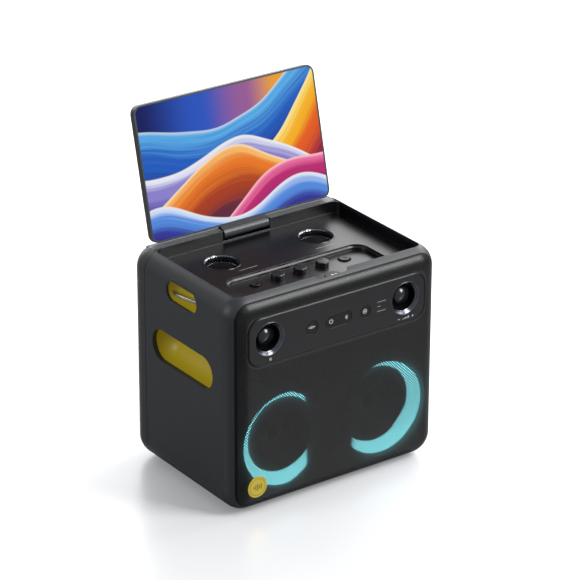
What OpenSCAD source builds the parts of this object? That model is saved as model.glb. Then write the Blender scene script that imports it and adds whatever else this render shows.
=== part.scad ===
// Portable karaoke speaker: a rounded cabinet with a perforated front, a recessed deck
// with knobs, buttons and two microphone wells, and a flat screen that folds down into it.
// Everything is drawn round the cabinet's own centre, with z = 0 at its underside, and
// place() then moves it so that the origin is bottom centre of the whole object.

/* [Cabinet] */
// Width of the cabinet
body_w = 350; // [346:1:356]
// Depth of the cabinet
body_d = 252; // [250:1:256]
// Height of the cabinet without its feet
body_h = 322; // [320:1:326]
// Radius of the four long corners seen from the front
corner_r = 32; // [31:0.5:33]
// Radius that rolls the sides into the front and the back
edge_r = 28; // [27:0.5:29]
// Thickness of the moulded walls
wall = 3; // [2.8:0.1:3.2]
// Depth of the rear cover behind its seam
cover_d = 38.8; // [38:0.2:40]
// Width of the dark seam between housing and rear cover
seam_w = 1; // [0.6:0.2:1.2]
// Height of the rubber feet
foot_h = 3; // [2:0.5:5]
// Radius of a rubber foot
foot_r = 12; // [8:1:14]
// Distance of each foot from the centre line
foot_x = 128; // [110:1:128]

/* [Grille and baffle] */
// Thickness of the grille sheet
grille_t = 1.2; // [1:0.1:1.4]
// Gap between the grille's edge and the housing
grille_gap = 0.6; // [0.4:0.1:0.8]
// How far the grille's folded skirt lies in from the outline
skirt_in = 13; // [13:0.1:13.4]
// Distance from the front plane to the baffle's face
baffle_back = 10; // [9.8:0.1:10.2]
// Thickness of the baffle board
baffle_t = 5; // [4:0.5:5]
// Top edge of the baffle above the cabinet's underside
baffle_top = 298; // [294:1:300]
// Radius of the round badge
badge_r = 15.7; // [12:0.1:16]
// Place of the badge from the centre line
badge_x = -135; // [-136:0.5:-130]
// Height of the badge's centre
badge_z = 39; // [38:0.5:42]
// Thickness of the badge
badge_t = 1.1; // [0.8:0.1:1.1]

/* [Control panel] */
// Width of the control panel
panel_w = 299; // [290:1:300]
// Lower edge of the control panel
panel_z0 = 218.5; // [216:0.5:220]
// Upper edge of the control panel
panel_z1 = 291.3; // [288:0.1:292]
// Corner radius of the control panel
panel_r = 21; // [16:1:24]
// How far the panel's face stands proud of the grille
panel_proud = 0.6; // [0.4:0.1:1]
// How far the raised rim stands proud of the panel's face
rim_proud = 0.5; // [0.3:0.1:0.6]
// Width of the raised rim
rim_w = 1.4; // [1:0.1:2]
// Thickness of the panel's plate
panel_t = 3.6; // [3.4:0.1:3.8]

/* [Dish knobs] */
// Distance of each dish from the centre line
dish_x = 114.5; // [112:0.5:116]
// Height of the dish centres
dish_z = 256.6; // [255:0.1:258]
// Outer radius of the polished dish ring
dish_r = 24.5; // [24:0.1:25]
// Radius of the dish's inner wall
dish_in_r = 19.5; // [19:0.1:20]
// Depth of the polished cone
dish_cone = 4.2; // [3.5:0.1:4.4]
// Depth of the dish
dish_deep = 16.5; // [16:0.1:17]
// Radius of the dish knob
dish_knob_r = 14; // [12:0.5:15]
// Depth of the knob's crown below the panel's face
dish_knob_top = 8; // [7:0.5:9]

/* [Panel buttons] */
// Height of the button row
button_z = 255; // [254:0.5:257]
// Centre of the left round button
bass_x = -44.5; // [-46:0.5:-43]
// Radius of the left round button
bass_r = 10; // [9:0.5:10]
// Centre of the right round button
mode_x = 45; // [44:0.5:46]
// Radius of the right round button
mode_r = 9.3; // [9:0.1:10]
// Distance of each end of the rocker from its middle
rocker_x = 12.2; // [11:0.1:13]
// End radius of the rocker
rocker_r = 9.5; // [9:0.1:10]
// Distance from the panel's face to the rocker's pivot
rocker_pivot = 5.1; // [5:0.1:5.2]
// Radius of the rocker's pivot
rocker_pin_r = 1.4; // [1.2:0.1:1.4]

/* [Side pockets] */
// Middle of the grip pocket, front to back
grip_y = -4.5; // [-8:0.5:0]
// Height of the grip pocket's middle
grip_z = 196; // [190:1:200]
// Length of the grip pocket
grip_l = 148; // [140:1:150]
// End radius of the grip pocket
grip_r = 24; // [22:1:24]
// Depth of the dark collar in front of the grip cup
grip_collar = 7; // [5:0.5:7]
// Middle of the strap pocket, front to back
lug_y = -4; // [-6:0.5:-2]
// Height of the strap pocket's middle
lug_z = 287.5; // [286:0.5:288]
// Length of the strap pocket
lug_l = 74; // [72:1:76]
// End radius of the strap pocket
lug_r = 14; // [13.5:0.1:14]
// Depth of the dark collar in front of the strap cup
lug_collar = 4; // [3.6:0.1:4]
// Radius of the steel strap bar
bar_r = 2.5; // [2:0.1:2.5]
// Length of the strap bar from end to end
bar_l = 73.6; // [73.2:0.1:74]
// Radius to which the strap bar is bowed
bar_bow_r = 118; // [110:1:125]
// Thickness of the pocket cups
cup_t = 2; // [1.6:0.1:2]
// Slope of the strap bar in its pocket, in degrees
bar_slope = 6.6; // [0:0.1:8]
// Depth of the middle of the strap bar in its pocket
bar_deep = 5; // [4.5:0.1:5.5]

/* [Deck] */
// Width of the opening in the top
deck_w = 312; // [311:0.5:313]
// Distance from the cabinet's middle to the opening's front edge
deck_front = 108.5; // [108:0.1:109]
// Corner radius of the opening
deck_r = 12; // [10:1:14]
// Depth of the deck floor below the top
deck_deep = 21.1; // [21:0.1:21.6]
// Depth of the tray's rim below the top
tray_rim = 7.6; // [7.4:0.1:8]
// Thickness of the tray
tray_t = 2.5; // [2:0.1:2.5]
// Distance from the cabinet's middle to the tray's rear wall
ledge_y = 92.2; // [92:0.1:92.4]
// Depth of the ledge behind the deck below the top
ledge_drop = 3.5; // [3.4:0.1:3.8]
// Width of the trough
trough_w = 235; // [230:1:236]
// Distance from the cabinet's middle to the trough's rear edge
trough_y = -15.5; // [-16:0.5:-14]
// Depth of the trough below the top
trough_deep = 29; // [28.6:0.1:29.2]
// Corner radius of the trough
trough_r = 20; // [18:1:22]
// Width of the finger notch in the front rim
notch_w = 54; // [50:1:56]
// Distance from the cabinet's middle to the notch's front edge
notch_front = 114; // [113.5:0.1:114]
// Depth of the finger notch below the top
notch_deep = 17.3; // [16:0.1:17.5]

/* [Deck knobs and buttons] */
// Spacing of the three deck knobs
knob_pitch = 37.7; // [36:0.1:38]
// Distance of the knob row from the cabinet's middle
row_y = -37; // [-38:0.5:-36]
// Radius of a deck knob
knob_r = 9.4; // [8:0.1:10]
// Height of a deck knob
knob_h = 7.5; // [7:0.1:8]
// Distance of each ring button from the centre line
ring_x = 75.1; // [74:0.1:78]
// Radius of a ring button
ring_r = 7.4; // [7:0.1:7.6]
// Radius of the groove round a ring button
ring_groove_r = 9.8; // [9:0.1:10]
// Place of the large button from the centre line
play_x = 29.5; // [29:0.5:31]
// Place of the large button, front to back
play_y = -75; // [-76:0.5:-74]
// Radius of the large button
play_r = 13; // [12:0.1:13]
// Place of the small button from the centre line
small_x = 7.5; // [6:0.5:8]
// Place of the small button, front to back
small_y = -76; // [-77:0.5:-75]
// Radius of the small button
small_r = 5.5; // [5:0.1:5.6]
// How far the deck buttons stand above the trough
cap_up = 2; // [1.5:0.1:2.5]

/* [Microphone wells] */
// Distance of each well from the centre line
mic_x = 79.7; // [78:0.1:82]
// Place of the wells, front to back
mic_y = 36.5; // [35:0.5:38]
// Outer radius of the well's ring
mic_r = 27; // [26:0.1:27]
// Radius of the ribbed wall's inner edge
mic_in_r = 23.5; // [23:0.1:24]
// Number of flutes in the ribbed wall
mic_flutes = 36; // [24:2:40]
// Radius of the pad in the well
mic_pad_r = 19.5; // [18:0.5:20]
// Depth of the well from the deck floor to its bottom
mic_deep = 12.9; // [12:0.1:13]

/* [Screen] */
// Width of the screen
screen_w = 303; // [300:0.5:304]
// Height of the screen
screen_h = 194; // [190:0.5:194]
// Thickness of the screen
screen_t = 9.5; // [9:0.1:9.5]
// Corner radius of the screen
screen_r = 12.5; // [10:0.5:14]
// Width of the frame round the glass
bezel = 2.5; // [2:0.1:3]
// How far the screen leans back when it is open, in degrees
screen_tilt = 13.6; // [10:0.1:14]

/* [Hinge] */
// Distance of the hinge axis behind the cabinet's middle
hinge_y = 97.5; // [97.3:0.1:97.6]
// Depth of the hinge axis below the top
hinge_drop = 9.5; // [9.4:0.1:9.6]
// Radius of the hinge barrel
barrel_r = 7.2; // [7:0.1:7.3]
// Length of the hinge barrel
barrel_l = 76; // [74:1:77]
// Width of the hinge's notch in the ledge
hinge_notch_w = 80; // [79:1:82]
// Distance from the hinge axis to the screen's lower edge
screen_from_axis = 10.48; // [10.4:0.01:10.6]
// Radius of the hinge pin
pin_r = 2; // [1.8:0.1:2.2]
// Length of the hinge pin
pin_l = 122; // [118:1:124]

/* [Woofers] */
// Distance of each woofer from the centre line
woofer_x = 82; // [80:1:84]
// Height of the woofer centres
woofer_z = 94; // [90:1:96]
// Outer radius of the light ring
light_r = 68.5; // [66:0.5:70]
// Inner radius of the light ring
light_in_r = 41; // [40:1:48]
// Thickness of the light ring
light_t = 2.8; // [2:0.1:3]
// Radius of the woofer's flange
woofer_r = 57; // [55:1:60]
// Radius of the woofer's magnet
magnet_r = 34; // [30:1:38]

/* [Rear] */
// Width of the socket panel
io_w = 150; // [140:1:160]
// Height of the socket panel
io_h = 44; // [40:1:48]
// Height of the socket panel's middle
io_z = 70; // [60:1:80]
// Bore radius of the two microphone sockets
jack_r = 3.25; // [3.2:0.01:3.3]
// Length of the bore of a microphone socket
jack_l = 14; // [12:1:16]
// Outer radius of the bass port
port_r = 30; // [25:1:32]
// Height of the bass port
port_z = 205; // [190:1:215]
// Length of the bass port
port_l = 60; // [50:1:70]

/* [Hidden] */
$fn = 72;

// Planes of the cabinet
side_x = body_w / 2;
front_y = -body_d / 2;
back_y = body_d / 2;
seam_y = back_y - cover_d;
grille_y = front_y + edge_r * (1 - cos(45));
baffle_y = front_y + baffle_back;
baffle_z0 = 11.5;
baffle_in = 10.8;
baffle_r = 20;
panel_y = front_y - panel_proud;
hinge_z = body_h - hinge_drop;
foot_y = [-84, 70];
deck_cut_y = seam_y + 10;

// Shift that puts the origin at the bottom centre of the whole object
open_reach = (screen_from_axis + screen_h) * sin(screen_tilt) + screen_t * cos(screen_tilt);
shift_y = (hinge_y + open_reach + panel_y - rim_proud) / 2;

// Heights of the deck
floor_z = body_h - deck_deep;
tray_rim_z = body_h - tray_rim;
ledge_z = body_h - ledge_drop;
trough_z = body_h - trough_deep;
notch_z = body_h - notch_deep;

// Play at each side of the deck tray, the finger notch's corners and the thickness and
// height of its lining, and the front, back and underside of the ledge over the hinge
tray_side = 0.5;
notch_r = 6;
lining_t = 1.7;
lining_h = 8;
cover_y = ledge_y + 2.05;
ledge_back_y = 111.5;
cover_z = floor_z + 2.1;

// Boards, their switches and the room under the trough
board_z = trough_z - 11;
board_t = 1.6;
switch_w = 6;
switch_h = 1.2;

// Clearances, the depth of the panel's buttons below its face, the radius of every
// knob's shaft, a small overlap, a cut through any plate and a cut past every edge
slip = 0.3;
bore_gap = 0.05;
button_in = 0.3;
shaft_r = 3;
eps = 0.02;
cut = 20;
big = 400;

// Dish: the sleeve and the lip of its ring, its cup's radius and the cup's bottom
dish_sleeve = 6;
dish_lip = 2.5;
dish_cup_r = 21;
dish_floor = 2.5;

// Woofer: the hole in the baffle, the seat of the cone and the voice coil
woofer_hole_r = 51;
woofer_seat_r = 49.5;
coil_r = 13;
bowl_h = 30;
bowl_rim = 3;

// Wall of a microphone well, and its bottom
mic_wall_r = mic_r - 1.5;
mic_floor_z = floor_z - mic_deep;

// Walls behind the pockets, and the tabs that carry the deck tray
collar_w = 4;
tab_y = [-92, 50];
tab_size = [22, 28, 4];

// Length of the rocker's pivot, how far its cradles stand behind the panel's plate, and
// their distance above and below the rocker's middle
rocker_pin_l = 2 * rocker_r + 7;
cradle_d = 4;
cradle_at = rocker_r + 2.5;

// Skin behind the screen's display module, and the glass in its frame
screen_skin = 1.2;
glass_in = 0.15;
glass_t = 2.2;

// Screw posts that hold the rear cover
post_x = 158;
post_z = [40, 255];
post_r = 5;
post_l = 30;
screw_r = 1.5;
screw_head_r = 4;
screw_head_h = 3;
screw_seat_y = seam_y + 9;

// Sockets at the rear, from left to right in the frame's x
mic_jack_x = [-56, -32];
line_jack_x = -8;
data_x = 20;
power_x = 50;
socket_r = 6;
line_socket_r = 4;
data_size = [16, 8];
socket_face_y = back_y - 4.5;
socket_l = 19.5;
io_plate_y = back_y - 6.5;
io_plate_t = 2;

module place() {
  translate([0, -shift_y, foot_h]) children();
}

// Two copies, one on each side
module both_sides() {
  children();
  mirror([1, 0, 0]) children();
}

// Draws a plan of x and z and extrudes it backwards from y0
module backwards(y0) {
  translate([0, y0, 0]) rotate([90, 0, 0]) mirror([0, 0, 1]) children();
}

// Draws a plan of y and z and extrudes it to the right from x0
module rightwards(x0) {
  translate([x0, 0, 0]) rotate([90, 0, 90]) children();
}

module round_rect(w, h, r) {
  square([w - 2 * r, h], center = true);
  square([w, h - 2 * r], center = true);
  for (sx = [-1, 1], sy = [-1, 1])
    translate([sx * (w / 2 - r), sy * (h / 2 - r)]) circle(r);
}

module stadium(l, r) {
  square([l - 2 * r, 2 * r], center = true);
  for (s = [-1, 1]) translate([s * (l / 2 - r), 0]) circle(r);
}

// Rounded cabinet solid: every outline corner has one radius and both end faces roll over
module soft_box(w, d, h, rc, re) {
  translate([0, 0, rc - h / 2]) linear_extrude(h - 2 * rc) round_rect(w, d, re);
  for (s = [0, 1]) mirror([0, 0, s]) {
    intersection() {
      translate([rc - w / 2, 0, 0]) rotate([90, 0, 90])
        linear_extrude(w - 2 * rc) round_rect(d, h, re);
      translate([-w, -d, h / 2 - rc]) cube([2 * w, 2 * d, rc]);
    }
    for (t = [0, 1]) mirror([t, 0, 0])
      translate([w / 2 - rc, 0, h / 2 - rc]) rotate([90, 0, 0])
        rotate_extrude(angle = 90) intersection() {
          round_rect(2 * rc, d, re);
          translate([0, -d]) square([2 * rc, 2 * d]);
        }
  }
}

// The cabinet's outer solid, drawn in by some thickness
module cabinet(inset) {
  translate([0, 0, body_h / 2])
    soft_box(body_w - 2 * inset, body_d - 2 * inset, body_h - 2 * inset,
      corner_r - inset, edge_r - inset);
}

module slab_y(y0, y1) {
  translate([-big / 2, y0, -big / 4]) cube([big, y1 - y0, big * 1.5]);
}

// Outline of the cabinet seen from the front, drawn in by some distance
module front_outline(inset) {
  translate([0, body_h / 2])
    round_rect(body_w - 2 * inset, body_h - 2 * inset, corner_r - inset);
}

// Plan of the opening in the top, grown by some distance
module deck_plan(grow) {
  y0 = -deck_front - grow;
  y1 = ledge_y + grow;
  translate([0, (y0 + y1) / 2])
    round_rect(deck_w - 2 * tray_side + 2 * grow, y1 - y0, deck_r + grow);
}

// Cut through the top for the deck, open at the rear for the ledge
module deck_opening(rear_y) {
  l = rear_y + deck_front;
  translate([0, 0, floor_z]) linear_extrude(big / 4) {
    translate([0, rear_y - l / 2]) round_rect(deck_w, l, deck_r);
    translate([-deck_w / 2, rear_y - l / 2]) square([deck_w, l / 2]);
  }
}

module notch_plan(grow) {
  l = 2 * (notch_front + grow);
  intersection() {
    round_rect(notch_w + 2 * grow, l, notch_r + grow);
    translate([-notch_w, -notch_front - grow]) square([2 * notch_w, cut / 2]);
  }
}

/* Cabinet shells */

module front_housing() color([0.20, 0.205, 0.215]) place() {
  lug_seat = cup_t + bore_gap;
  difference() {
    union() {
      intersection() {
        difference() {
          cabinet(0);
          cabinet(wall);
        }
        slab_y(grille_y, seam_y - seam_w / 2);
      }
      both_sides() {
        rightwards(wall - side_x) linear_extrude(grip_collar - wall)
          translate([grip_y, grip_z]) stadium(grip_l + 2 * collar_w, grip_r + collar_w);
        rightwards(wall - side_x) linear_extrude(lug_collar - wall)
          translate([lug_y, lug_z]) stadium(lug_l + 2 * collar_w, lug_r + collar_w);
        for (y0 = tab_y)
          translate([wall - side_x, y0, floor_z - tray_t - tab_size[2]]) cube(tab_size);
        for (z = post_z) {
          backwards(seam_y - post_l) linear_extrude(post_l - seam_w / 2)
            translate([-post_x, z]) circle(post_r);
          translate([wall - side_x, seam_y - post_l, z - wall / 2])
            cube([side_x - wall - post_x, post_l - seam_w / 2, wall]);
        }
      }
    }
    deck_opening(deck_cut_y);
    translate([0, 0, notch_z]) linear_extrude(big / 4) notch_plan(0);
    both_sides() {
      rightwards(-side_x - 1) linear_extrude(grip_collar + 2)
        translate([grip_y, grip_z]) stadium(grip_l, grip_r);
      rightwards(-side_x - 1) linear_extrude(lug_collar + 2)
        translate([lug_y, lug_z]) stadium(lug_l, lug_r);
      rightwards(lug_collar - side_x) linear_extrude(lug_r)
        translate([lug_y, lug_z]) stadium(lug_l + 2 * lug_seat, lug_r + lug_seat);
      for (z = post_z)
        backwards(screw_seat_y - post_l - wall) linear_extrude(post_l + wall)
          translate([-post_x, z]) circle(screw_r + bore_gap);
    }
  }
}

module rear_cover() color([0.20, 0.205, 0.215]) place() {
  tower_l = cover_d - 10;
  screw_play = 0.7;
  difference() {
    union() {
      intersection() {
        difference() {
          cabinet(0);
          cabinet(wall);
        }
        slab_y(seam_y + seam_w / 2, back_y + 1);
      }
      both_sides() for (z = post_z)
        backwards(seam_y + seam_w / 2) linear_extrude(tower_l)
          translate([-post_x, z]) circle(post_r + 2);
    }
    translate([0, 0, floor_z - 1]) linear_extrude(big / 4)
      translate([-deck_w / 2, seam_y]) square([deck_w, ledge_back_y + 0.1 - seam_y]);
    both_sides() for (z = post_z) {
      backwards(seam_y) linear_extrude(cover_d)
        translate([-post_x, z]) circle(screw_r + screw_play);
      backwards(screw_seat_y) linear_extrude(cover_d)
        translate([-post_x, z]) circle(screw_head_r + screw_play);
    }
    backwards(back_y - 2 * wall) linear_extrude(4 * wall)
      translate([0, io_z]) round_rect(io_w, io_h, 2 * wall);
    backwards(back_y - 2 * wall) linear_extrude(4 * wall)
      translate([0, port_z]) circle(port_r + 0.2);
  }
}

module seam_gasket() color([0.03, 0.03, 0.03]) place() {
  seam_in = 0.9;
  difference() {
    backwards(seam_y - seam_w / 2) linear_extrude(seam_w) difference() {
      front_outline(seam_in);
      front_outline(wall);
    }
    deck_opening(deck_cut_y);
  }
}

module feet() color([0.05, 0.05, 0.05]) place() {
  bevel = 0.8;
  for (x = [-foot_x, foot_x], y = foot_y)
    translate([x, y, -foot_h]) {
      cylinder(r1 = foot_r - bevel, r2 = foot_r, h = bevel);
      translate([0, 0, bevel]) cylinder(r = foot_r, h = foot_h - bevel);
    }
}

module cover_screws() color([0.35, 0.35, 0.36]) place() {
  socket_deep = 1.6;
  both_sides() for (z = post_z)
    translate([-post_x, screw_seat_y, z]) rotate([90, 0, 0]) {
      cylinder(r = screw_r, h = post_l);
      difference() {
        translate([0, 0, -screw_head_h]) cylinder(r = screw_head_r, h = screw_head_h);
        translate([0, 0, -screw_head_h - 1])
          cylinder(r = screw_head_r * 0.45, h = 1 + socket_deep, $fn = 6);
      }
    }
}

/* Front */

module grille() color([0.09, 0.09, 0.095]) place() {
  skirt_l = 5;
  panel_gap = 0.4;
  difference() {
    union() {
      intersection() {
        difference() {
          cabinet(0);
          cabinet(grille_t);
        }
        slab_y(front_y - 1, grille_y - grille_gap);
      }
      backwards(baffle_y - skirt_l) linear_extrude(skirt_l) difference() {
        front_outline(skirt_in);
        front_outline(skirt_in + grille_t);
      }
    }
    backwards(front_y - 2) linear_extrude(cut) panel_outline(-panel_gap);
  }
}

module front_baffle() color([0.12, 0.12, 0.12]) place() {
  h = baffle_top - baffle_z0;
  difference() {
    backwards(baffle_y) linear_extrude(baffle_t)
      translate([0, baffle_z0 + h / 2]) round_rect(body_w - 2 * baffle_in, h, baffle_r);
    both_sides() backwards(baffle_y - 1) linear_extrude(baffle_t + 2) {
      translate([-woofer_x, woofer_z]) circle(woofer_hole_r);
      translate([-dish_x, dish_z]) circle(dish_cup_r + slip);
    }
  }
}

module panel_outline(inset) {
  translate([0, (panel_z0 + panel_z1) / 2])
    round_rect(panel_w - 2 * inset, panel_z1 - panel_z0 - 2 * inset, panel_r - inset);
}

module rocker_plan(grow) {
  translate([0, button_z]) stadium(2 * (rocker_x + rocker_r + grow), rocker_r + grow);
}

module control_panel() color([0.11, 0.11, 0.115]) place() {
  skirt_t = 2.5;
  cradle = [6, panel_t + cradle_d, 3];
  difference() {
    union() {
      backwards(panel_y) linear_extrude(baffle_y - panel_y) panel_outline(0);
      backwards(panel_y - rim_proud) linear_extrude(rim_proud) difference() {
        panel_outline(0);
        panel_outline(rim_w);
      }
    }
    difference() {
      backwards(panel_y + panel_t) linear_extrude(baffle_y - panel_y) panel_outline(skirt_t);
      for (s = [-1, 1])
        translate([-cradle[0] / 2, panel_y, button_z + s * cradle_at - cradle[2] / 2])
          cube(cradle);
    }
    translate([0, panel_y + rocker_pivot, button_z])
      cylinder(r = rocker_pin_r + bore_gap, h = rocker_pin_l + cradle[2], center = true);
    both_sides() backwards(panel_y - 1) linear_extrude(1 + dish_lip + bore_gap)
      translate([-dish_x, dish_z]) circle(dish_r + 2 * bore_gap);
    backwards(panel_y - 1) linear_extrude(cut) {
      for (s = [-1, 1]) translate([s * dish_x, dish_z]) circle(dish_cup_r + 0.2);
      translate([bass_x, button_z]) circle(bass_r + slip);
      translate([mode_x, button_z]) circle(mode_r + slip);
      rocker_plan(0.5);
    }
  }
}

// Polished ring: a flat lip, a shiny cone and a short sleeve
module dish_ring(s) color([0.55, 0.56, 0.58]) place() {
  translate([s * dish_x, panel_y, dish_z]) rotate([-90, 0, 0])
    rotate_extrude() polygon([
      [dish_r - 0.9, -0.4],
      [dish_r, 0],
      [dish_r, dish_lip],
      [dish_cup_r, dish_lip],
      [dish_cup_r, dish_sleeve],
      [dish_in_r, dish_sleeve],
      [dish_in_r, dish_cone]
    ]);
}

module dish_cup(s) color([0.04, 0.04, 0.04]) place() {
  translate([s * dish_x, panel_y, dish_z]) rotate([-90, 0, 0]) difference() {
    translate([0, 0, dish_sleeve])
      cylinder(r = dish_cup_r, h = dish_deep + dish_floor - dish_sleeve);
    cylinder(r = dish_in_r, h = dish_deep);
    cylinder(r = shaft_r + bore_gap, h = dish_deep + cut);
  }
}

// Domed knob with a chamfered edge and a shaft
module dish_knob(s) color([0.10, 0.10, 0.11]) place() {
  dome_r = 70;
  bevel = 2.5;
  bottom = dish_deep - 0.7;
  shaft_l = 8;
  translate([s * dish_x, panel_y, dish_z]) rotate([-90, 0, 0]) {
    intersection() {
      union() {
        translate([0, 0, dish_knob_top])
          cylinder(r1 = dish_knob_r - bevel, r2 = dish_knob_r, h = bevel);
        translate([0, 0, dish_knob_top + bevel])
          cylinder(r = dish_knob_r, h = bottom - dish_knob_top - bevel);
      }
      translate([0, 0, dish_knob_top + dome_r]) sphere(r = dome_r);
    }
    translate([0, 0, bottom - eps]) cylinder(r = shaft_r, h = shaft_l);
  }
}

// Round panel button: a cap, a flange behind the panel and a plunger
module push_button(x, r) {
  flange_t = 1.2;
  plunger_l = 1.4;
  translate([x, 0, button_z]) {
    backwards(panel_y + button_in) linear_extrude(panel_t) circle(r);
    backwards(panel_y + panel_t + button_in) linear_extrude(flange_t) circle(r + flange_t);
    backwards(panel_y + panel_t + button_in + flange_t) linear_extrude(plunger_l)
      circle(shaft_r);
  }
}

module bass_button() color([0.07, 0.07, 0.075]) place() push_button(bass_x, bass_r);

module mode_button() color([0.07, 0.07, 0.075]) place() push_button(mode_x, mode_r);

// Rocker with an upright pivot behind it, which turns in two cradles of the panel
module power_rocker() color([0.07, 0.07, 0.075]) place() {
  backwards(panel_y + button_in) linear_extrude(panel_t) rocker_plan(0);
  backwards(panel_y + panel_t) linear_extrude(rocker_pivot - panel_t)
    translate([0, button_z]) square([2 * rocker_pin_r, rocker_r], center = true);
  translate([0, panel_y + rocker_pivot, button_z])
    cylinder(r = rocker_pin_r, h = rocker_pin_l, center = true);
}

module button_board() color([0.05, 0.25, 0.12]) place() {
  size = [140, 26];
  front = baffle_y - board_t - switch_h;
  backwards(baffle_y - board_t) linear_extrude(board_t)
    translate([0, button_z]) round_rect(size[0], size[1], 2);
  for (x = [bass_x, -rocker_x, rocker_x, mode_x])
    translate([x - switch_w / 2, front, button_z - switch_w / 2])
      cube([switch_w, switch_h, switch_w]);
}

module badge() color([0.72, 0.62, 0.18]) place() {
  backwards(front_y - badge_t) linear_extrude(badge_t)
    translate([badge_x, badge_z]) circle(badge_r);
}

/* Woofers and light rings */

module light_ring(s) color([0.45, 0.85, 0.88]) place() {
  backwards(baffle_y - light_t) linear_extrude(light_t)
    translate([s * woofer_x, woofer_z]) difference() {
      circle(light_r);
      circle(light_in_r);
    }
}

module woofer_frame(s) color([0.16, 0.16, 0.17]) place() {
  bowl_r = [52, 30];
  bowl_t = 3;
  window = [40, 20, 17];
  window_at = [25, 8];
  translate([s * woofer_x, baffle_y + baffle_t, woofer_z]) rotate([-90, 0, 0])
    difference() {
      union() {
        cylinder(r = woofer_r, h = bowl_rim);
        translate([0, 0, bowl_rim]) cylinder(r1 = bowl_r[0], r2 = bowl_r[1], h = bowl_h);
      }
      translate([0, 0, -1]) cylinder(r = woofer_seat_r, h = bowl_rim + 1);
      translate([0, 0, bowl_rim - eps])
        cylinder(r1 = woofer_seat_r, r2 = bowl_r[1] - bowl_t, h = bowl_h - 2);
      translate([0, 0, bowl_h / 2]) cylinder(r = coil_r + 0.5, h = bowl_h);
      for (a = [0:60:300]) rotate([0, 0, a])
        translate([window_at[0], -window[1] / 2, window_at[1]]) cube(window);
    }
}

// Paper cone seated in the frame, with its rubber roll, its dust cap and its voice coil
module woofer_cone(s) color([0.10, 0.10, 0.10]) place() {
  paper_t = 1.2;
  cone_r = 43;
  cone_h = 20;
  coil_end = 28;
  rim_r = woofer_seat_r - bore_gap;
  roll_r = 3;
  roll_at = cone_r + roll_r;
  cap_r = 18;
  cap_z = 13;
  translate([s * woofer_x, baffle_y + baffle_t, woofer_z]) rotate([-90, 0, 0]) {
    rotate_extrude() polygon([
      [cone_r, 0],
      [rim_r, 0],
      [rim_r, paper_t],
      [cone_r - 0.4, paper_t],
      [coil_r, cone_h],
      [coil_r, coil_end],
      [coil_r - paper_t, coil_end],
      [coil_r - paper_t, cone_h - 1.1],
      [cone_r - 1, -0.2]
    ]);
    rotate_extrude() translate([roll_at, 0]) intersection() {
      difference() {
        circle(roll_r);
        circle(roll_r - 1);
      }
      translate([-2 * roll_r, -4 * roll_r]) square(4 * roll_r);
    }
    intersection() {
      translate([0, 0, cap_z + cap_r]) difference() {
        sphere(r = cap_r);
        sphere(r = cap_r - 1);
      }
      cylinder(r = coil_r - 0.5, h = cone_h);
    }
  }
}

module woofer_magnets() color([0.25, 0.25, 0.26]) place() {
  plate_t = 3;
  magnet_h = 14;
  back_t = 4;
  bowl_back = baffle_y + baffle_t + bowl_rim + bowl_h;
  for (s = [-1, 1])
    translate([s * woofer_x, bowl_back, woofer_z]) rotate([-90, 0, 0]) {
      cylinder(r = magnet_r, h = plate_t);
      translate([0, 0, plate_t]) cylinder(r = magnet_r + 3, h = magnet_h);
      translate([0, 0, plate_t + magnet_h]) cylinder(r = magnet_r, h = back_t);
    }
}

/* Side pockets */

// Half section of a pocket cup: a quarter ring and its flange, mouth at the bottom
module cup_section(r, flange) {
  intersection() {
    difference() {
      circle(r + cup_t);
      circle(r);
    }
    square(r + cup_t);
  }
  translate([r, 0]) square([flange, cup_t]);
}

// Round-bottomed cup with a flat flange, sunk into the side to some depth
module pocket_cup(y, z, l, r, depth, flange) {
  straight = l - 2 * r;
  translate([depth - side_x, y, z]) rotate([0, 90, 0]) {
    rotate([90, 0, 0]) linear_extrude(straight, center = true) {
      cup_section(r, flange);
      mirror([1, 0]) cup_section(r, flange);
    }
    for (s = [0, 1]) mirror([0, s, 0]) translate([0, straight / 2, 0])
      rotate_extrude(angle = 180) cup_section(r, flange);
  }
}

// Frame of the strap bar: the centre of its bow, with the bar on the -X side
module on_bar() {
  translate([bar_bow_r - side_x + bar_deep, lug_y, lug_z - 2])
    rotate([-bar_slope, 0, 0]) children();
}

module grip_cup() color([0.72, 0.64, 0.14]) {
  pocket_cup(grip_y, grip_z, grip_l, grip_r, grip_collar, cup_t + 1);
}

module lug_cup() color([0.72, 0.64, 0.14]) {
  pocket_cup(lug_y, lug_z, lug_l, lug_r, lug_collar, cup_t);
}

module strap_bar() color([0.70, 0.71, 0.72]) on_bar() {
  half_angle = asin(bar_l / 2 / bar_bow_r);
  rotate([0, 0, 180 - half_angle]) rotate_extrude(angle = 2 * half_angle)
    translate([bar_bow_r, 0]) circle(bar_r, $fn = 32);
}

/* Deck */

// Rounded plan that narrows downwards by its own height
module chamfered_plan(w, d, r, c) {
  for (sx = [-1, 1], sy = [-1, 1])
    translate([sx * (w / 2 - r - c), sy * (d / 2 - r - c), 0])
      cylinder(r1 = r, r2 = r + c, h = c);
  rightwards(r + c - w / 2) linear_extrude(w - 2 * r - 2 * c)
    polygon([[c - d / 2, 0], [d / 2 - c, 0], [d / 2, c], [-d / 2, c]]);
  backwards(r + c - d / 2) linear_extrude(d - 2 * r - 2 * c)
    polygon([[c - w / 2, 0], [w / 2 - c, 0], [w / 2, c], [-w / 2, c]]);
}

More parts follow.
